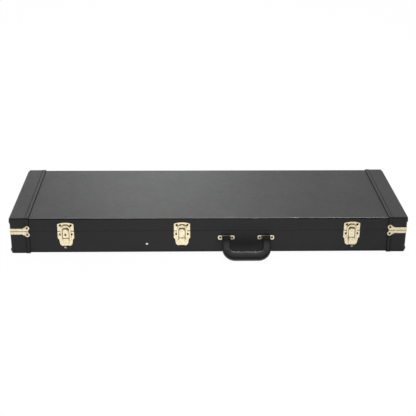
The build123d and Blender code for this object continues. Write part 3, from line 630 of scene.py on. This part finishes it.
def hinge_screws(name, level, body):
    bm = bmesh.new()
    profile = [(SCREW_RADIUS, 0.0)]
    profile += [(SCREW_RADIUS * cos(a), SCREW_HEIGHT * sin(a)) for a in angles_to(pi / 2, 5)[1:-1]]
    for x in HINGES:
        for offset in SCREW_OFFSETS:
            origin = (x + offset, LEAF_Y, AXIS_Z + level)
            revolve(bm, profile, origin, BACK, steps=20)
            for turn in (0, pi / 2):
                add_bar(bm, Vector(origin) + Vector((0, CROSS_OUT, 0)), turn, CROSS_SIZE)
    finish_piece(bm, name, (BRASS, HOLE), body)


hinge_screws("body_hinge_screws", -SCREW_LEVEL, "root")
hinge_screws("lid_hinge_screws", SCREW_LEVEL, "lid")

# The pale nail head in the front
NAIL_SPOT = (-162.0 * MM, -HALF_WIDTH, 24.3 * MM)
NAIL_RADIUS = 3.1 * MM
NAIL_HEIGHT = 1.1 * MM


def nail_head():
    """A round domed head."""
    bm = bmesh.new()
    dome = [(NAIL_RADIUS * cos(a), NAIL_HEIGHT * (0.3 + 0.7 * sin(a)))
            for a in angles_to(pi / 2, 6)[:-1]]
    revolve(bm, [(NAIL_RADIUS, 0.0)] + dome, NAIL_SPOT, FRONT, steps=24)
    piece = finish_piece(bm, "neck_nail_head", (NAIL_STEEL,), "root")
    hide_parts("neck_rest_nail")


nail_head()

# Feet on the spine, with the section in millimetres as (radius, height)
FOOT_X = 400.0 * MM
FOOT_LEVELS = (14.0 * MM, 44.0 * MM)
FOOT_WASHER = [(7.0, 0.0), (7.0, 1.0), (6.8, 1.4), (6.3, 1.6), (6.0, 2.2), (5.7, 6.2)]


def spine_studs():
    """Turned rubber feet with a washer at the base and a rounded top."""
    profile = FOOT_WASHER + [(5.6 - 1.6 * (1 - cos(a)), 6.6 + 2.3 * sin(a))
                             for a in angles_to(pi / 2, 5)]
    bm = bmesh.new()
    for x in (-FOOT_X, FOOT_X):
        for z in FOOT_LEVELS:
            revolve(bm, [(r * MM, h * MM) for r, h in profile], (x, HALF_WIDTH, z), BACK, steps=32)
    piece = finish_piece(bm, "spine_studs", (RUBBER,), "root")
    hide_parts("spine_feet")


spine_studs()

# A rolled bead along the top edge of each handle bracket, over the knuckle
BEAD_RADIUS = 0.7 * MM
BEAD_HALF_LENGTH = 12.0 * MM
BEAD_Y = -HALF_WIDTH - 1.0 * MM
BEAD_Z = HANDLE_PIVOT_Z + 5.1 * MM
BEAD_END = [(0.1 * MM, 0.0), (BEAD_RADIUS * 0.7, 0.15 * MM), (BEAD_RADIUS, 0.6 * MM)]


def bracket_beads():
    bm = bmesh.new()
    profile = BEAD_END + [(r, 2 * BEAD_HALF_LENGTH - h) for r, h in reversed(BEAD_END)]
    for side in (-1, 1):
        start = (HANDLE_X + side * HANDLE_HALF_SPAN - BEAD_HALF_LENGTH, BEAD_Y, BEAD_Z)
        revolve(bm, profile, start, (1, 0, 0), steps=16)
    finish_piece(bm, "bracket_top_beads", (BRASS,), "root")


bracket_beads()

# The carrying handle's moulding, in place of the CAD model's plainer one.
# Distances down the handle are measured from the axis of its pins.
PIVOT = Vector((HANDLE_X, -HALF_WIDTH - 8.5 * MM, HANDLE_PIVOT_Z))
HANDLE_TILT = radians(48.08)
KNUCKLE_RADIUS = 5.0 * MM
KNUCKLE_WIDTH = 18.4 * MM
KNUCKLE_SHARES = (-0.995, -0.93, -0.8, -0.6, -0.35, 0.0)
PIN_HOLE_RADIUS = 1.8 * MM
ARM_HALF_WIDTH = 9.5 * MM
HANDLE_HALF_WIDTH = 62.8 * MM
GRIP_OUTER = 60.5 * MM
GRIP_INNER = 34.35 * MM
GRIP_CORNER = 33.0 * MM
GRIP_THROAT = 9.0 * MM
GROOVE_DEPTH = 2.1 * MM
GROOVE_SHARE = 0.7
GRIP_SIDES = 36
THICKNESS_STEPS = ((0.0, 5.0 * MM), (13.7 * MM, 5.5 * MM), (GRIP_INNER, 7.2 * MM))
BOXINESS_STEPS = ((0.0, 6.0), (20.0 * MM, 5.0), (47.6 * MM, 3.4))


def read_steps(value, steps):
    """A value read off a list of (place, value) steps with straight lines between them."""
    for (low, first), (high, second) in zip(steps, steps[1:]):
        if value <= high:
            share = min(1.0, max(0.0, (value - low) / (high - low)))
            return first + (second - first) * share
    return steps[-1][1]


def grip_stations():
    """Pairs of points on the inner and outer edge of the handle's left half, from the
    knuckle down the arm and round the corner to the middle of the grip."""
    arm_inner = HANDLE_HALF_SPAN - ARM_HALF_WIDTH
    top_inner = HANDLE_HALF_SPAN - KNUCKLE_WIDTH / 2
    top_outer = HANDLE_HALF_SPAN + KNUCKLE_WIDTH / 2
    corner_start = GRIP_OUTER - GRIP_CORNER
    throat_end = arm_inner - GRIP_THROAT
    groove = throat_end * GROOVE_SHARE
    pairs = []
    for share in KNUCKLE_SHARES:
        pairs.append(((-top_inner, share * KNUCKLE_RADIUS), (-top_outer, share * KNUCKLE_RADIUS)))
    for k in range(1, 6):
        down = k / 5
        wider = min(1.0, 2 * down)
        inner = (-top_inner + (top_inner - arm_inner) * wider, (GRIP_INNER - GRIP_THROAT) * down)
        outer = (-top_outer - (HANDLE_HALF_WIDTH - top_outer) * down, corner_start * down)
        pairs.append((inner, outer))
    for a in angles_to(pi / 2, 12)[1:]:
        inner = (-throat_end - GRIP_THROAT * cos(a), GRIP_INNER - GRIP_THROAT * (1 - sin(a)))
        outer = (-HANDLE_HALF_WIDTH + GRIP_CORNER * (1 - cos(a)),
                 corner_start + GRIP_CORNER * sin(a))
        pairs.append((inner, outer))
    for k in range(1, 15):
        left = 1 - k / 14
        u = throat_end * left
        rise = (throat_end - u) / (throat_end - groove) if u > groove else u / groove
        inner = (-u, GRIP_INNER + GROOVE_DEPTH * sin(pi / 2 * rise) ** 2)
        pairs.append((inner, ((GRIP_CORNER - HANDLE_HALF_WIDTH) * left, GRIP_OUTER)))
    return pairs


def bore_pin_holes(piece):
    """Cuts the holes for the brackets' pins through both knuckles."""
    bm = bmesh.new()
    bore = [(PIN_HOLE_RADIUS, 0.0), (PIN_HOLE_RADIUS, 2 * KNUCKLE_WIDTH)]
    for side in (-1, 1):
        start = PIVOT + Vector((side * HANDLE_HALF_SPAN - KNUCKLE_WIDTH, 0, 0))
        rings = revolve(bm, bore, start, (1, 0, 0), steps=24)
        bm.faces.new(rings[0][::-1])
    cutter = add_object("pin_hole_cutter", to_mesh(bm, "pin_hole_cutter"))
    cut = piece.modifiers.new("pin_holes", "BOOLEAN")
    cut.operation = "DIFFERENCE"
    cut.solver = "EXACT"
    cut.object = cutter
    bpy.context.view_layer.update()
    apply_modifiers(piece)
    bpy.data.meshes.remove(cutter.data)


def grip_ring(bm, inner, outer):
    """One section of the moulding, rounder in the bar than in the arms."""
    down = Vector((0, -sin(HANDLE_TILT), -cos(HANDLE_TILT)))
    normal = Vector((0, cos(HANDLE_TILT), -sin(HANDLE_TILT)))
    inside = PIVOT + Vector((inner[0], 0, 0)) + down * inner[1]
    outside = PIVOT + Vector((outer[0], 0, 0)) + down * outer[1]
    centre, half = (inside + outside) / 2, (outside - inside) / 2
    at = (inner[1] + outer[1]) / 2
    thick = sqrt(KNUCKLE_RADIUS ** 2 - at ** 2) if at < 0 else read_steps(at, THICKNESS_STEPS)
    power = 2 / read_steps(at, BOXINESS_STEPS)
    made = []
    for a in angles_to(2 * pi, GRIP_SIDES)[:-1]:
        c, s = cos(a), sin(a)
        along, through = copysign(abs(c) ** power, c), copysign(abs(s) ** power, s)
        made.append(bm.verts.new(centre + half * along + normal * thick * through))
    return made


def grip_moulding():
    """One rounded band swept through both arms and the bar, fuller in the bar."""
    left = grip_stations()
    right = [((-a, b), (-c, d)) for (a, b), (c, d) in reversed(left[:-1])]
    bm = bmesh.new()
    join_solid(bm, [grip_ring(bm, inner, outer) for inner, outer in left + right])
    piece = finish_piece(bm, "handle_moulding", (GRIP,), "handle")
    bore_pin_holes(piece)
    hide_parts("handle_grip")


grip_moulding()


def strap_outline():
    """Half of the blank's edge as (distance from the corner, height from the parting)."""
    ear = [(EAR_REACH + EAR_RADIUS * cos(a), EAR_HEIGHT + EAR_RADIUS * sin(a)) for a in EAR_TURN]
    shoulder = [(SHOULDER_START + out, STRAP_SHOULDER - drop) for out, drop in SHOULDER_CORNER]
    return [(STRAP_LENGTH, STRAP_GAP)] + ear + shoulder + [(SHOULDER_START, STRAP_BAND)]


def strap_point(u, v, up, sx, sy, lift):
    """Bends a point of the flat blank round a corner; u is 0 at the corner's middle."""
    turn = STRAP_ARC / 2
    if abs(u) <= turn:
        angle = pi / 4 + u / STRAP_RADIUS
        reach = STRAP_RADIUS + lift
        x = STRAP_X - STRAP_RADIUS + reach * sin(angle)
        y = STRAP_Y - STRAP_RADIUS + reach * cos(angle)
    elif u > 0:
        x, y = STRAP_X + lift, STRAP_Y - STRAP_RADIUS - (u - turn)
    else:
        x, y = STRAP_X - STRAP_RADIUS + (u + turn), STRAP_Y + lift
    return Vector((sx * x, sy * y, AXIS_Z + up * v))


def strap_blank():
    """The flat blank, cut across where it bends and where its width changes."""
    flat_start = STRAP_ARC / 2 - STRAP_RADIUS
    right = [(flat_start + u, v) for u, v in strap_outline()]
    outline = right + [(-u, v) for u, v in reversed(right)]
    blank = bmesh.new()
    blank.faces.new([blank.verts.new((u, v, 0)) for u, v in outline])
    cuts = [STRAP_ARC * (k / 12 - 0.5) for k in range(13)]
    cuts += [BAND_CUT, -BAND_CUT, SHOULDER_START, -SHOULDER_START]
    for cut in cuts:
        everything = blank.verts[:] + blank.edges[:] + blank.faces[:]
        bmesh.ops.bisect_plane(blank, geom=everything, plane_co=(cut, 0, 0), plane_no=(1, 0, 0))
    blank.verts.index_update()
    return blank


def straps(name, up, body, node_name):
    """The four half straps of one half of the case."""
    bm = bmesh.new()
    for sx, sy in CORNERS:
        blank = strap_blank()
        lows, highs = ([bm.verts.new(strap_point(v.co.x, v.co.y, up, sx, sy, lift))
                        for v in blank.verts] for lift in (STRAP_LIFT, STRAP_THICKNESS))
        for face in blank.faces:
            indices = [v.index for v in face.verts]
            bm.faces.new([lows[i] for i in indices])
            bm.faces.new([highs[i] for i in reversed(indices)])
        for edge in blank.edges:
            if len(edge.link_faces) == 1:
                a, b = edge.verts[0].index, edge.verts[1].index
                bm.faces.new((lows[a], lows[b], highs[b], highs[a]))
        blank.free()
    piece = finish_piece(bm, name, (BRASS,), body)
    soften(piece, STRAP_BEVEL, angle=40)
    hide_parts(node_name)


straps("body_strap_plates", -1, "root", "body_corner_straps")
straps("lid_strap_plates", 1, "lid", "lid_corner_straps")

# Stitches on the welts of the end caps
STITCH_PITCH = 7.0 * MM
STITCH_LENGTH = 5.0 * MM
STITCH_RADIUS = 0.6 * MM
NEEDLE_HOLE = 0.9 * MM
NEEDLE_HOLE_HEIGHT = 0.06 * MM
STITCH_X = HALF_LENGTH - CAP_REACH + 8.0 * MM
STITCH_FLAT_REACH = HALF_WIDTH - 6.0 * MM
STITCH_STOP = WELT_STOP + 1.0 * MM
STITCH_EDGE = 4.0 * MM


def add_stitch(bm, centre, along, out):
    """One stitch: a short arched thread that dives into the cloth at both ends."""
    centre, along, out = Vector(centre), Vector(along), Vector(out)
    side = along.cross(out)
    rings = []
    for k in range(7):
        t = k / 6 - 0.5
        lift = STITCH_RADIUS * (1 - (2 * t) ** 4) * 1.1
        spine = centre + along * STITCH_LENGTH * t + out * (lift - STITCH_RADIUS * 0.5)
        size = STITCH_RADIUS * (1 - 0.6 * abs(2 * t) ** 4)
        rings.append(ring(bm, spine, side, out, size, 6))
    join_solid(bm, rings)
    # Painted shade: flat dark discs at both ends stand for the needle holes
    for end in (-0.5, 0.5):
        spot = centre + along * (STITCH_LENGTH + NEEDLE_HOLE) * end
        hole = [(NEEDLE_HOLE, 0.0), (NEEDLE_HOLE * 0.8, NEEDLE_HOLE_HEIGHT)]
        revolve(bm, hole, spot, out, 8, 1)


def stitches(name, body, flat_z, side_low, side_high, up):
    """A row round one half of both caps: over the flat face and down the front and back."""
    bm = bmesh.new()
    face_y = HALF_WIDTH + WELT_OUT
    flat_count = int(2 * STITCH_FLAT_REACH / STITCH_PITCH)
    side_count = int((side_high - side_low) / STITCH_PITCH)
    for x in (-STITCH_X, STITCH_X):
        for k in range(flat_count):
            y = -STITCH_FLAT_REACH + STITCH_PITCH * (k + 0.5)
            add_stitch(bm, (x, y, flat_z), (0, 1, 0), (0, 0, up))
        for sy in (-1, 1):
            for k in range(side_count):
                z = side_low + STITCH_PITCH * (k + 0.5)
                add_stitch(bm, (x, sy * face_y, z), (0, 0, 1), (0, sy, 0))
    finish_piece(bm, name, (THREAD, HOLE), body)


stitches("lid_cap_stitches", "lid", HEIGHT + WELT_OUT, PARTING + STITCH_STOP,
         HEIGHT - STITCH_EDGE, 1)
stitches("body_cap_stitches", "root", -WELT_OUT, STITCH_EDGE, PARTING - STITCH_STOP, -1)

# Dark lines of painted shade beside each welt, as (x, direction, height on the cap, edge radius,
# width)
WELT_INNER = HALF_LENGTH - CAP_REACH
WELT_SHADE_LINES = (
    (WELT_INNER, -1, 0.0, EDGE_RADIUS, 0.9 * MM),
    (WELT_INNER + WELT_WIDTH, 1, CAP_THICKNESS, EDGE_RADIUS + CAP_THICKNESS, 0.5 * MM),
)
EDGE_LINE_LIFT = 0.35 * MM
# Their section as (share of the width, share of the lift)
EDGE_LINE_SECTION = ((0.0, 0.0), (0.1, 1.0), (0.6, 1.0), (0.9, 0.7), (1.0, -0.2))


def welt_shade_lines(name, body, closed_z, rim_z):
    """Thin matt black strips over the flat face and down the front and back of each cap: painted
    shade lines at the welt's edges.
    """
    bm = bmesh.new()
    up = 1 if closed_z > rim_z else -1
    for start, away, grow, edge, width in WELT_SHADE_LINES:
        face_y, face_z = HALF_WIDTH + grow, closed_z + up * grow
        path = [(face_y, rim_z + up * WELT_STOP, 0.0)]
        path += [(face_y - edge + edge * cos(a), face_z - up * (edge - edge * sin(a)), a)
                 for a in angles_to(pi / 2, 6)]
        path += [(-y, z, pi - a) for y, z, a in reversed(path)]
        for sx in (-1, 1):
            rows = []
            for share, rise in EDGE_LINE_SECTION:
                x = sx * (start + away * share * width)
                rows.append([bm.verts.new(Vector((x, y, z)) + Vector((0, cos(a), up * sin(a)))
                                          * EDGE_LINE_LIFT * rise) for y, z, a in path])
            for low, high in zip(rows, rows[1:]):
                for k in range(len(low) - 1):
                    bm.faces.new((low[k], low[k + 1], high[k + 1], high[k]))
    finish_piece(bm, name, (SHADE_LINE_CLOTH,), body)


welt_shade_lines("lid_cap_shade_lines", "lid", HEIGHT, PARTING + PARTING_GAP)
welt_shade_lines("body_cap_shade_lines", "root", 0.0, PARTING)

# Bails: bent wire, pressed slightly flat, in place of the CAD model's flat bars
BAIL_MIDDLE = 10.95 * MM
BAIL_HALF_WIDTH = 2.3 * MM
BAIL_HALF_THICKNESS = 0.88 * MM
BAIL_Y = -HALF_WIDTH - 3.9 * MM
BAIL_ARCH_Z = 5.2 * MM
BAIL_FOOT_Z = -25.9 * MM
BAIL_PIVOT_Z = -23.6 * MM
BAIL_SIDES = 20
TRUNNION_RADIUS = 0.88 * MM
TRUNNION_START = 9.4 * MM
TRUNNION_LENGTH = 4.0 * MM
# How full the section is over the rounded foot, as (share of the foot, fullness)
BAIL_FOOT_STEPS = ((0.0, 0.25), (0.25, 0.66), (0.6, 0.91), (1.0, 1.0))


def bail_path():
    """The wire's middle line as (x, z, direction across it, fullness of the section)."""
    path = [(BAIL_MIDDLE, BAIL_FOOT_Z + share * BAIL_HALF_WIDTH, 0.0, full)
            for share, full in BAIL_FOOT_STEPS]
    arch = [(BAIL_MIDDLE * cos(a), BAIL_ARCH_Z + BAIL_MIDDLE * sin(a), a, 1.0)
            for a in angles_to(pi, 28)]
    return path + arch + [(-x, z, pi - a, full) for x, z, a, full in reversed(path)]


def bail_wire(name, x, body, node_name):
    bm = bmesh.new()
    turns = angles_to(2 * pi, BAIL_SIDES)[:-1]
    rings = []
    for u, z, angle, full in bail_path():
        centre = Vector((x + u, BAIL_Y, PARTING + z))
        across = Vector((cos(angle), 0, sin(angle))) * BAIL_HALF_WIDTH * full
        out = Vector(FRONT) * BAIL_HALF_THICKNESS * full
        rings.append([bm.verts.new(centre + across * cos(a) + out * sin(a)) for a in turns])
    join_rings(bm, rings)
    bm.faces.new(rings[0])
    bm.faces.new(rings[-1][::-1])
    trunnion = [(TRUNNION_RADIUS, 0.0), (TRUNNION_RADIUS, TRUNNION_LENGTH)]
    for side in (-1, 1):
        origin = (x + side * TRUNNION_START, BAIL_Y, PARTING + BAIL_PIVOT_Z)
        revolve(bm, trunnion, origin, (-side, 0, 0), steps=16)
    piece = finish_piece(bm, name, (BRASS,), body)
    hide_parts(node_name)


for latch_name, latch_x in zip(("left", "middle", "right"), LATCHES):
    bail_wire("latch_bail_wire_" + latch_name, latch_x, "bail_" + latch_name,
              "latch_bail_" + latch_name)


# Plush pieces inside. Waves are in radians per metre.
BLOCK_WAVES = (61.0, 53.0, 23.0)
BLOCK_SWELL = 0.35 * MM


def plush_block(node_name, voxel, rounds, body="root", skin=PLUSH):
    """A foam block covered in plush: its edges are soft and its faces swell a little."""
    name = node_name + "_plush"
    low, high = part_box(node_name)
    mesh = nodes[node_name].data.copy()
    mesh.name = name
    mesh.materials.clear()
    mesh.materials.append(skin)
    piece = add_object(name, mesh)
    remesh = piece.modifiers.new("cells", "REMESH")
    remesh.mode = "VOXEL"
    remesh.voxel_size = voxel
    smooth = piece.modifiers.new("soft", "SMOOTH")
    smooth.factor = 0.5
    smooth.iterations = rounds
    bpy.context.view_layer.update()
    apply_modifiers(piece)
    by_x, by_y, by_z = BLOCK_WAVES
    for vertex in piece.data.vertices:
        p = vertex.co
        wave = sin(p.x * by_x + p.z * by_z) * sin(p.y * by_y + 0.7) * BLOCK_SWELL
        p.z += wave if p.z > low.z + 4 * voxel else 0.0
        for axis in range(3):
            p[axis] = min(max(p[axis], low[axis]), high[axis])
    for polygon in piece.data.polygons:
        polygon.use_smooth = True
    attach(piece, body)
    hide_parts(node_name)


CUSHION_COLUMNS = 130
CUSHION_ROWS = 44
CUSHION_BORDER = 9.0 * MM
CUSHION_WAVES = (19.0, 23.0)


def cushion_share(x, y, low, high):
    """Share of a pad's thickness at a point: it rolls down at the border and swells."""
    from_edge = min(x - low.x, high.x - x, y - low.y, high.y - y)
    roll = sqrt(max(0.0, 1 - (1 - min(1.0, from_edge / CUSHION_BORDER)) ** 2))
    swell = 0.90 + 0.10 * cos(x * CUSHION_WAVES[0]) * cos(y * CUSHION_WAVES[1])
    return (0.25 + 0.75 * roll) * swell


def cushion(node_name, body, crown_up):
    """A wide flat pad whose free face is gently quilted and rolls down at the border."""
    low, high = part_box(node_name)
    cols, rows = CUSHION_COLUMNS, CUSHION_ROWS
    bm = bmesh.new()
    base, sign = (low.z, 1) if crown_up else (high.z, -1)
    thick = high.z - low.z
    grid = []
    for i in range(cols + 1):
        line = []
        for j in range(rows + 1):
            x = low.x + (high.x - low.x) * i / cols
            y = low.y + (high.y - low.y) * j / rows
            z = base + sign * thick * cushion_share(x, y, low, high)
            line.append(bm.verts.new((x, y, z)))
        grid.append(line)
    for i in range(cols):
        for j in range(rows):
            bm.faces.new((grid[i][j], grid[i + 1][j], grid[i + 1][j + 1], grid[i][j + 1]))
    rim = [grid[i][0] for i in range(cols + 1)] + [grid[cols][j] for j in range(1, rows + 1)]
    rim += [grid[i][rows] for i in range(cols - 1, -1, -1)]
    rim += [grid[0][j] for j in range(rows - 1, 0, -1)]
    feet = [bm.verts.new((v.co.x, v.co.y, base)) for v in rim]
    join_rings(bm, [rim, feet])
    bm.faces.new(feet)
    piece = finish_piece(bm, node_name + "_plush", (PLUSH,), body)
    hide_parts(node_name)


LINING_WALL = 3.0 * MM
LINING_CORNER = 9.0 * MM
LINING_STEP = 25.0 * MM
LINING_RIPPLE = 0.25 * MM
LINING_FOOT = 0.2 * MM


def lining_path(low, high):
    """Points round the walls with the direction out of the room, close enough to ripple."""
    path = []
    for cx, cy, start in ((high.x, high.y, 0), (low.x, high.y, 90), (low.x, low.y, 180),
                          (high.x, low.y, 270)):
        inward = Vector((-1 if cx > 0 else 1, -1 if cy > 0 else 1, 0)) * LINING_CORNER
        for k in range(7):
            angle = radians(start + 15 * k)
            out = Vector((cos(angle), sin(angle), 0))
            path.append((Vector((cx, cy, 0)) + inward + out * LINING_CORNER, out))
    dense = []
    for k, (at, out) in enumerate(path):
        dense.append((at, out))
        span = path[(k + 1) % len(path)][0] - at
        cuts = int(span.length / LINING_STEP)
        dense += [(at + span * (c / cuts), out) for c in range(1, cuts)]
    return dense


def lining(node_name, body):
    """A plush strip round the inside of the walls, rounded along both edges."""
    low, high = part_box(node_name)
    radius = LINING_WALL / 2
    section = [(0.0, low.z + LINING_FOOT), (0.0, high.z - radius)]
    section += [(radius - radius * cos(a), high.z - radius + radius * sin(a))
                for a in angles_to(pi, 6)[1:]]
    section += [(LINING_WALL, low.z + radius), (LINING_WALL - radius, low.z)]
    bm = bmesh.new()
    loops = []
    for k, (at, out) in enumerate(lining_path(low, high)):
        ripple = LINING_RIPPLE * sin(k * 0.9)
        depths = [(d + (ripple if d >= LINING_WALL else 0), z) for d, z in section]
        loops.append([bm.verts.new((at.x - out.x * d, at.y - out.y * d, z)) for d, z in depths])
    join_rings(bm, loops + loops[:1])
    piece = finish_piece(bm, node_name + "_plush", (PLUSH,), body)
    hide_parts(node_name)


cushion("bottom_pad", "root", True)
cushion("lid_pad", "lid", False)
lining("body_lining", "root")
lining("lid_lining", "lid")
for block_name in ("neck_support", "shoulder_block_front", "shoulder_block_back",
                   "tail_block_front", "tail_block_back"):
    plush_block(block_name, voxel=3.2 * MM, rounds=5)
plush_block("compartment_wall", voxel=1.6 * MM, rounds=3)
plush_block("compartment_lid", voxel=1.5 * MM, rounds=3, body="compartment_cover")
plush_block("pull_tab", voxel=0.7 * MM, rounds=3, body="compartment_cover",
            skin=TAB_LEATHER)

# Carried-over CAD nodes: their materials and small roundings
COVERINGS = ("body_covering", "lid_covering")
CAPS = ("body_left_cap", "body_right_cap", "lid_left_cap", "lid_right_cap")
BRACKETS = ("handle_bracket_left", "handle_bracket_right")
SMALL_METAL = ("latch_", "strike_", "hinge_", "lock_")
CAP_BEVEL = 0.35 * MM
COVERING_BEVEL = 0.15 * MM
METAL_BEVEL = 0.22 * MM
BRACKET_BEVEL = 0.55 * MM
EAR_START_Y = -HALF_WIDTH - 1.5 * MM

for row in frame["record"]["subparts"]:
    nodes[row["node"]].data.materials.clear()
    nodes[row["node"]].data.materials.append(MATERIAL_OF_SLOT[row["material_slot"]])
for name, piece in nodes.items():
    for polygon in piece.data.polygons:
        polygon.use_smooth = False
    if name.startswith(SMALL_METAL):
        soften(piece, METAL_BEVEL, 2)
for name in CAPS:
    soften(nodes[name], CAP_BEVEL)
for name in COVERINGS:
    soften(nodes[name], COVERING_BEVEL, 2)
for name in COVERINGS + CAPS:
    shade_rounding(nodes[name])
nodes["lid_covering"].data.materials[0] = LID_CLOTH
for name in ("latch_lever_left", "latch_lever_middle", "latch_lever_right"):
    nodes[name].data.materials[0] = LEVER_BRASS
for name in BRACKETS:
    soften(nodes[name], BRACKET_BEVEL)
    mesh = nodes[name].data
    mesh.materials[0] = BRACKET_BRASS_LIT_COPY
    # Painted shade: the ears beyond the plate take the dark steel
    mesh.materials.append(EAR_SHADE_STEEL)
    for polygon in mesh.polygons:
        polygon.material_index = 1 if polygon.center.y < EAR_START_Y else 0

# Stage: pale floor, white surroundings and soft light
FLOOR_HALF_SIZE = 9.0
FLOOR_GAP = 0.1 * MM
FLOOR_WHITE_SHARE = 0.94
FLOOR_GLOW = 1.04
FLOOR_SHINE = 1.25
FLOOR_GREY = 0.45
FLOOR_SHADE_REACH = 30.0 * MM
FLOOR_SHADE_LOW = 0.75
# Brightness of the floor in reflections along x, and of the sky towards its bright side
SHINE_SPAN = (-0.5, 0.5)
SHINE_STEPS = ((0.0, 0.86), (0.13, 0.98), (0.45, 1.0), (0.85, 0.88), (1.0, 0.74))
BRIGHT_SIDE = (-0.36, 0.847, 0.39)
SKY_STEPS = ((0.0, 0.10), (0.5, 0.24), (0.80, 0.65), (1.0, 0.95))
# Lamps as name, position, aim, size, watts and tint
WHITE = (1.0, 1.0, 1.0)
LAMPS = (
    ("soft_overhead", (-0.4, -0.2, 2.6), (0, 0, 0), (2.4, 1.6), 6.0, WHITE),
    ("soft_back", (-0.20, 3.2, 1.45), (0, 0, 0.05), (0.60, 0.8), 8.8, (0.972, 1.0, 0.982)),
    ("strip_overhead", (0.52, 0.25, 2.5), (0.52, -0.1, 0), (1.0, 0.12), 26.0, WHITE),
)


def rays_of(tree, *kinds):
    """One for rays of the given kinds, zero for all others."""
    seen = add_node(tree, "ShaderNodeLightPath")
    value = seen.outputs[kinds[0]]
    for kind in kinds[1:]:
        value = combine(tree, "MAXIMUM", value, seen.outputs[kind])
    return value


def mix_shaders(tree, output_kind, share, first, second):
    """The tree's output is a mix of two shader nodes."""
    mix = add_node(tree, "ShaderNodeMixShader")
    tree.links.new(share, mix.inputs["Fac"])
    tree.links.new(first.outputs[0], mix.inputs[1])
    tree.links.new(second.outputs[0], mix.inputs[2])
    tree.links.new(mix.outputs[0], add_node(tree, output_kind).inputs["Surface"])


def stage_material(name):
    """White to the camera and in reflections, yet still shaded where the object stands."""
    made = bpy.data.materials.new(name)
    made.use_nodes = True
    tree = made.node_tree
    tree.nodes.clear()
    diffuse = add_node(tree, "ShaderNodeBsdfDiffuse")
    diffuse.inputs["Color"].default_value = (FLOOR_GREY, FLOOR_GREY, FLOOR_GREY, 1)
    glossy = rays_of(tree, "Is Glossy Ray")
    shine = grey_ramp(tree, spread(tree, own_axes(tree)["X"], *SHINE_SPAN), SHINE_STEPS)
    shine = combine(tree, "MULTIPLY", shine, FLOOR_SHINE)
    glow = add_node(tree, "ShaderNodeEmission")
    strength = spread(tree, glossy, 0.0, 1.0, FLOOR_GLOW, shine)
    tree.links.new(strength, glow.inputs["Strength"])
    near = add_node(tree, "ShaderNodeAmbientOcclusion", samples=8)
    near.inputs["Distance"].default_value = FLOOR_SHADE_REACH
    open_share = spread(tree, near.outputs["AO"], 0.55, 0.95, FLOOR_SHADE_LOW, 1.0)
    glossy = combine(tree, "MULTIPLY", glossy, open_share)
    white = combine(tree, "MAXIMUM", glossy, rays_of(tree, "Is Camera Ray"))
    white = combine(tree, "MULTIPLY", white, FLOOR_WHITE_SHARE)
    mix_shaders(tree, "ShaderNodeOutputMaterial", white, diffuse, glow)
    return made


def build_floor():
    bm = bmesh.new()
    bmesh.ops.create_grid(bm, x_segments=1, y_segments=1, size=FLOOR_HALF_SIZE)
    mesh = to_mesh(bm, "floor")
    mesh.materials.append(stage_material("floor_white"))
    floor = add_object("floor", mesh)
    floor.location = (0, 0, FLOOR_Z - FLOOR_GAP)


def build_world():
    """White to the camera; as light it is bright behind the case and dim in front of it."""
    world = bpy.data.worlds.new("surroundings")
    bpy.context.scene.world = world
    world.use_nodes = True
    tree = world.node_tree
    tree.nodes.clear()
    direction = add_node(tree, "ShaderNodeTexCoord")
    along = add_node(tree, "ShaderNodeVectorMath", operation="DOT_PRODUCT")
    along.inputs[1].default_value = BRIGHT_SIDE
    tree.links.new(direction.outputs["Generated"], along.inputs[0])
    level = spread(tree, along.outputs["Value"], -1.0, 1.0)
    lit = add_node(tree, "ShaderNodeBackground")
    tree.links.new(grey_ramp(tree, level, SKY_STEPS), lit.inputs["Color"])
    white = add_node(tree, "ShaderNodeBackground")
    white.inputs["Color"].default_value = (1, 1, 1, 1)
    seen = rays_of(tree, "Is Camera Ray", "Is Transmission Ray")
    mix_shaders(tree, "ShaderNodeOutputWorld", seen, lit, white)


def area_lamp(name, position, aim, size, watts, tint):
    lamp = bpy.data.lights.new(name, "AREA")
    lamp.shape = "RECTANGLE"
    lamp.size, lamp.size_y = size
    lamp.energy = watts
    lamp.color = tint
    holder = add_object(name, lamp)
    holder.location = position
    direction = Vector(aim) - Vector(position)
    holder.rotation_euler = direction.to_track_quat("-Z", "Y").to_euler()


build_floor()
build_world()
for lamp_values in LAMPS:
    area_lamp(*lamp_values)

# Camera at the photograph's view: pan, tilt and roll in degrees
CAMERA_LENS = 78.364
CAMERA_PLACE = (-0.0675, -2.2870, 1.0535)
CAMERA_TURNS = (("Z", -1.709), ("X", 66.326), ("Z", 0.496))


def build_camera():
    camera = bpy.data.cameras.new("camera")
    camera.lens = CAMERA_LENS
    camera.sensor_width = 36.0
    camera.clip_end = 60.0
    holder = add_object("camera", camera)
    pan, tilt, roll = (Matrix.Rotation(radians(angle), 4, axis) for axis, angle in CAMERA_TURNS)
    holder.matrix_world = Matrix.Translation(CAMERA_PLACE) @ pan @ tilt @ roll
    bpy.context.scene.camera = holder


build_camera()
bpy.context.scene.view_settings.view_transform = "Standard"
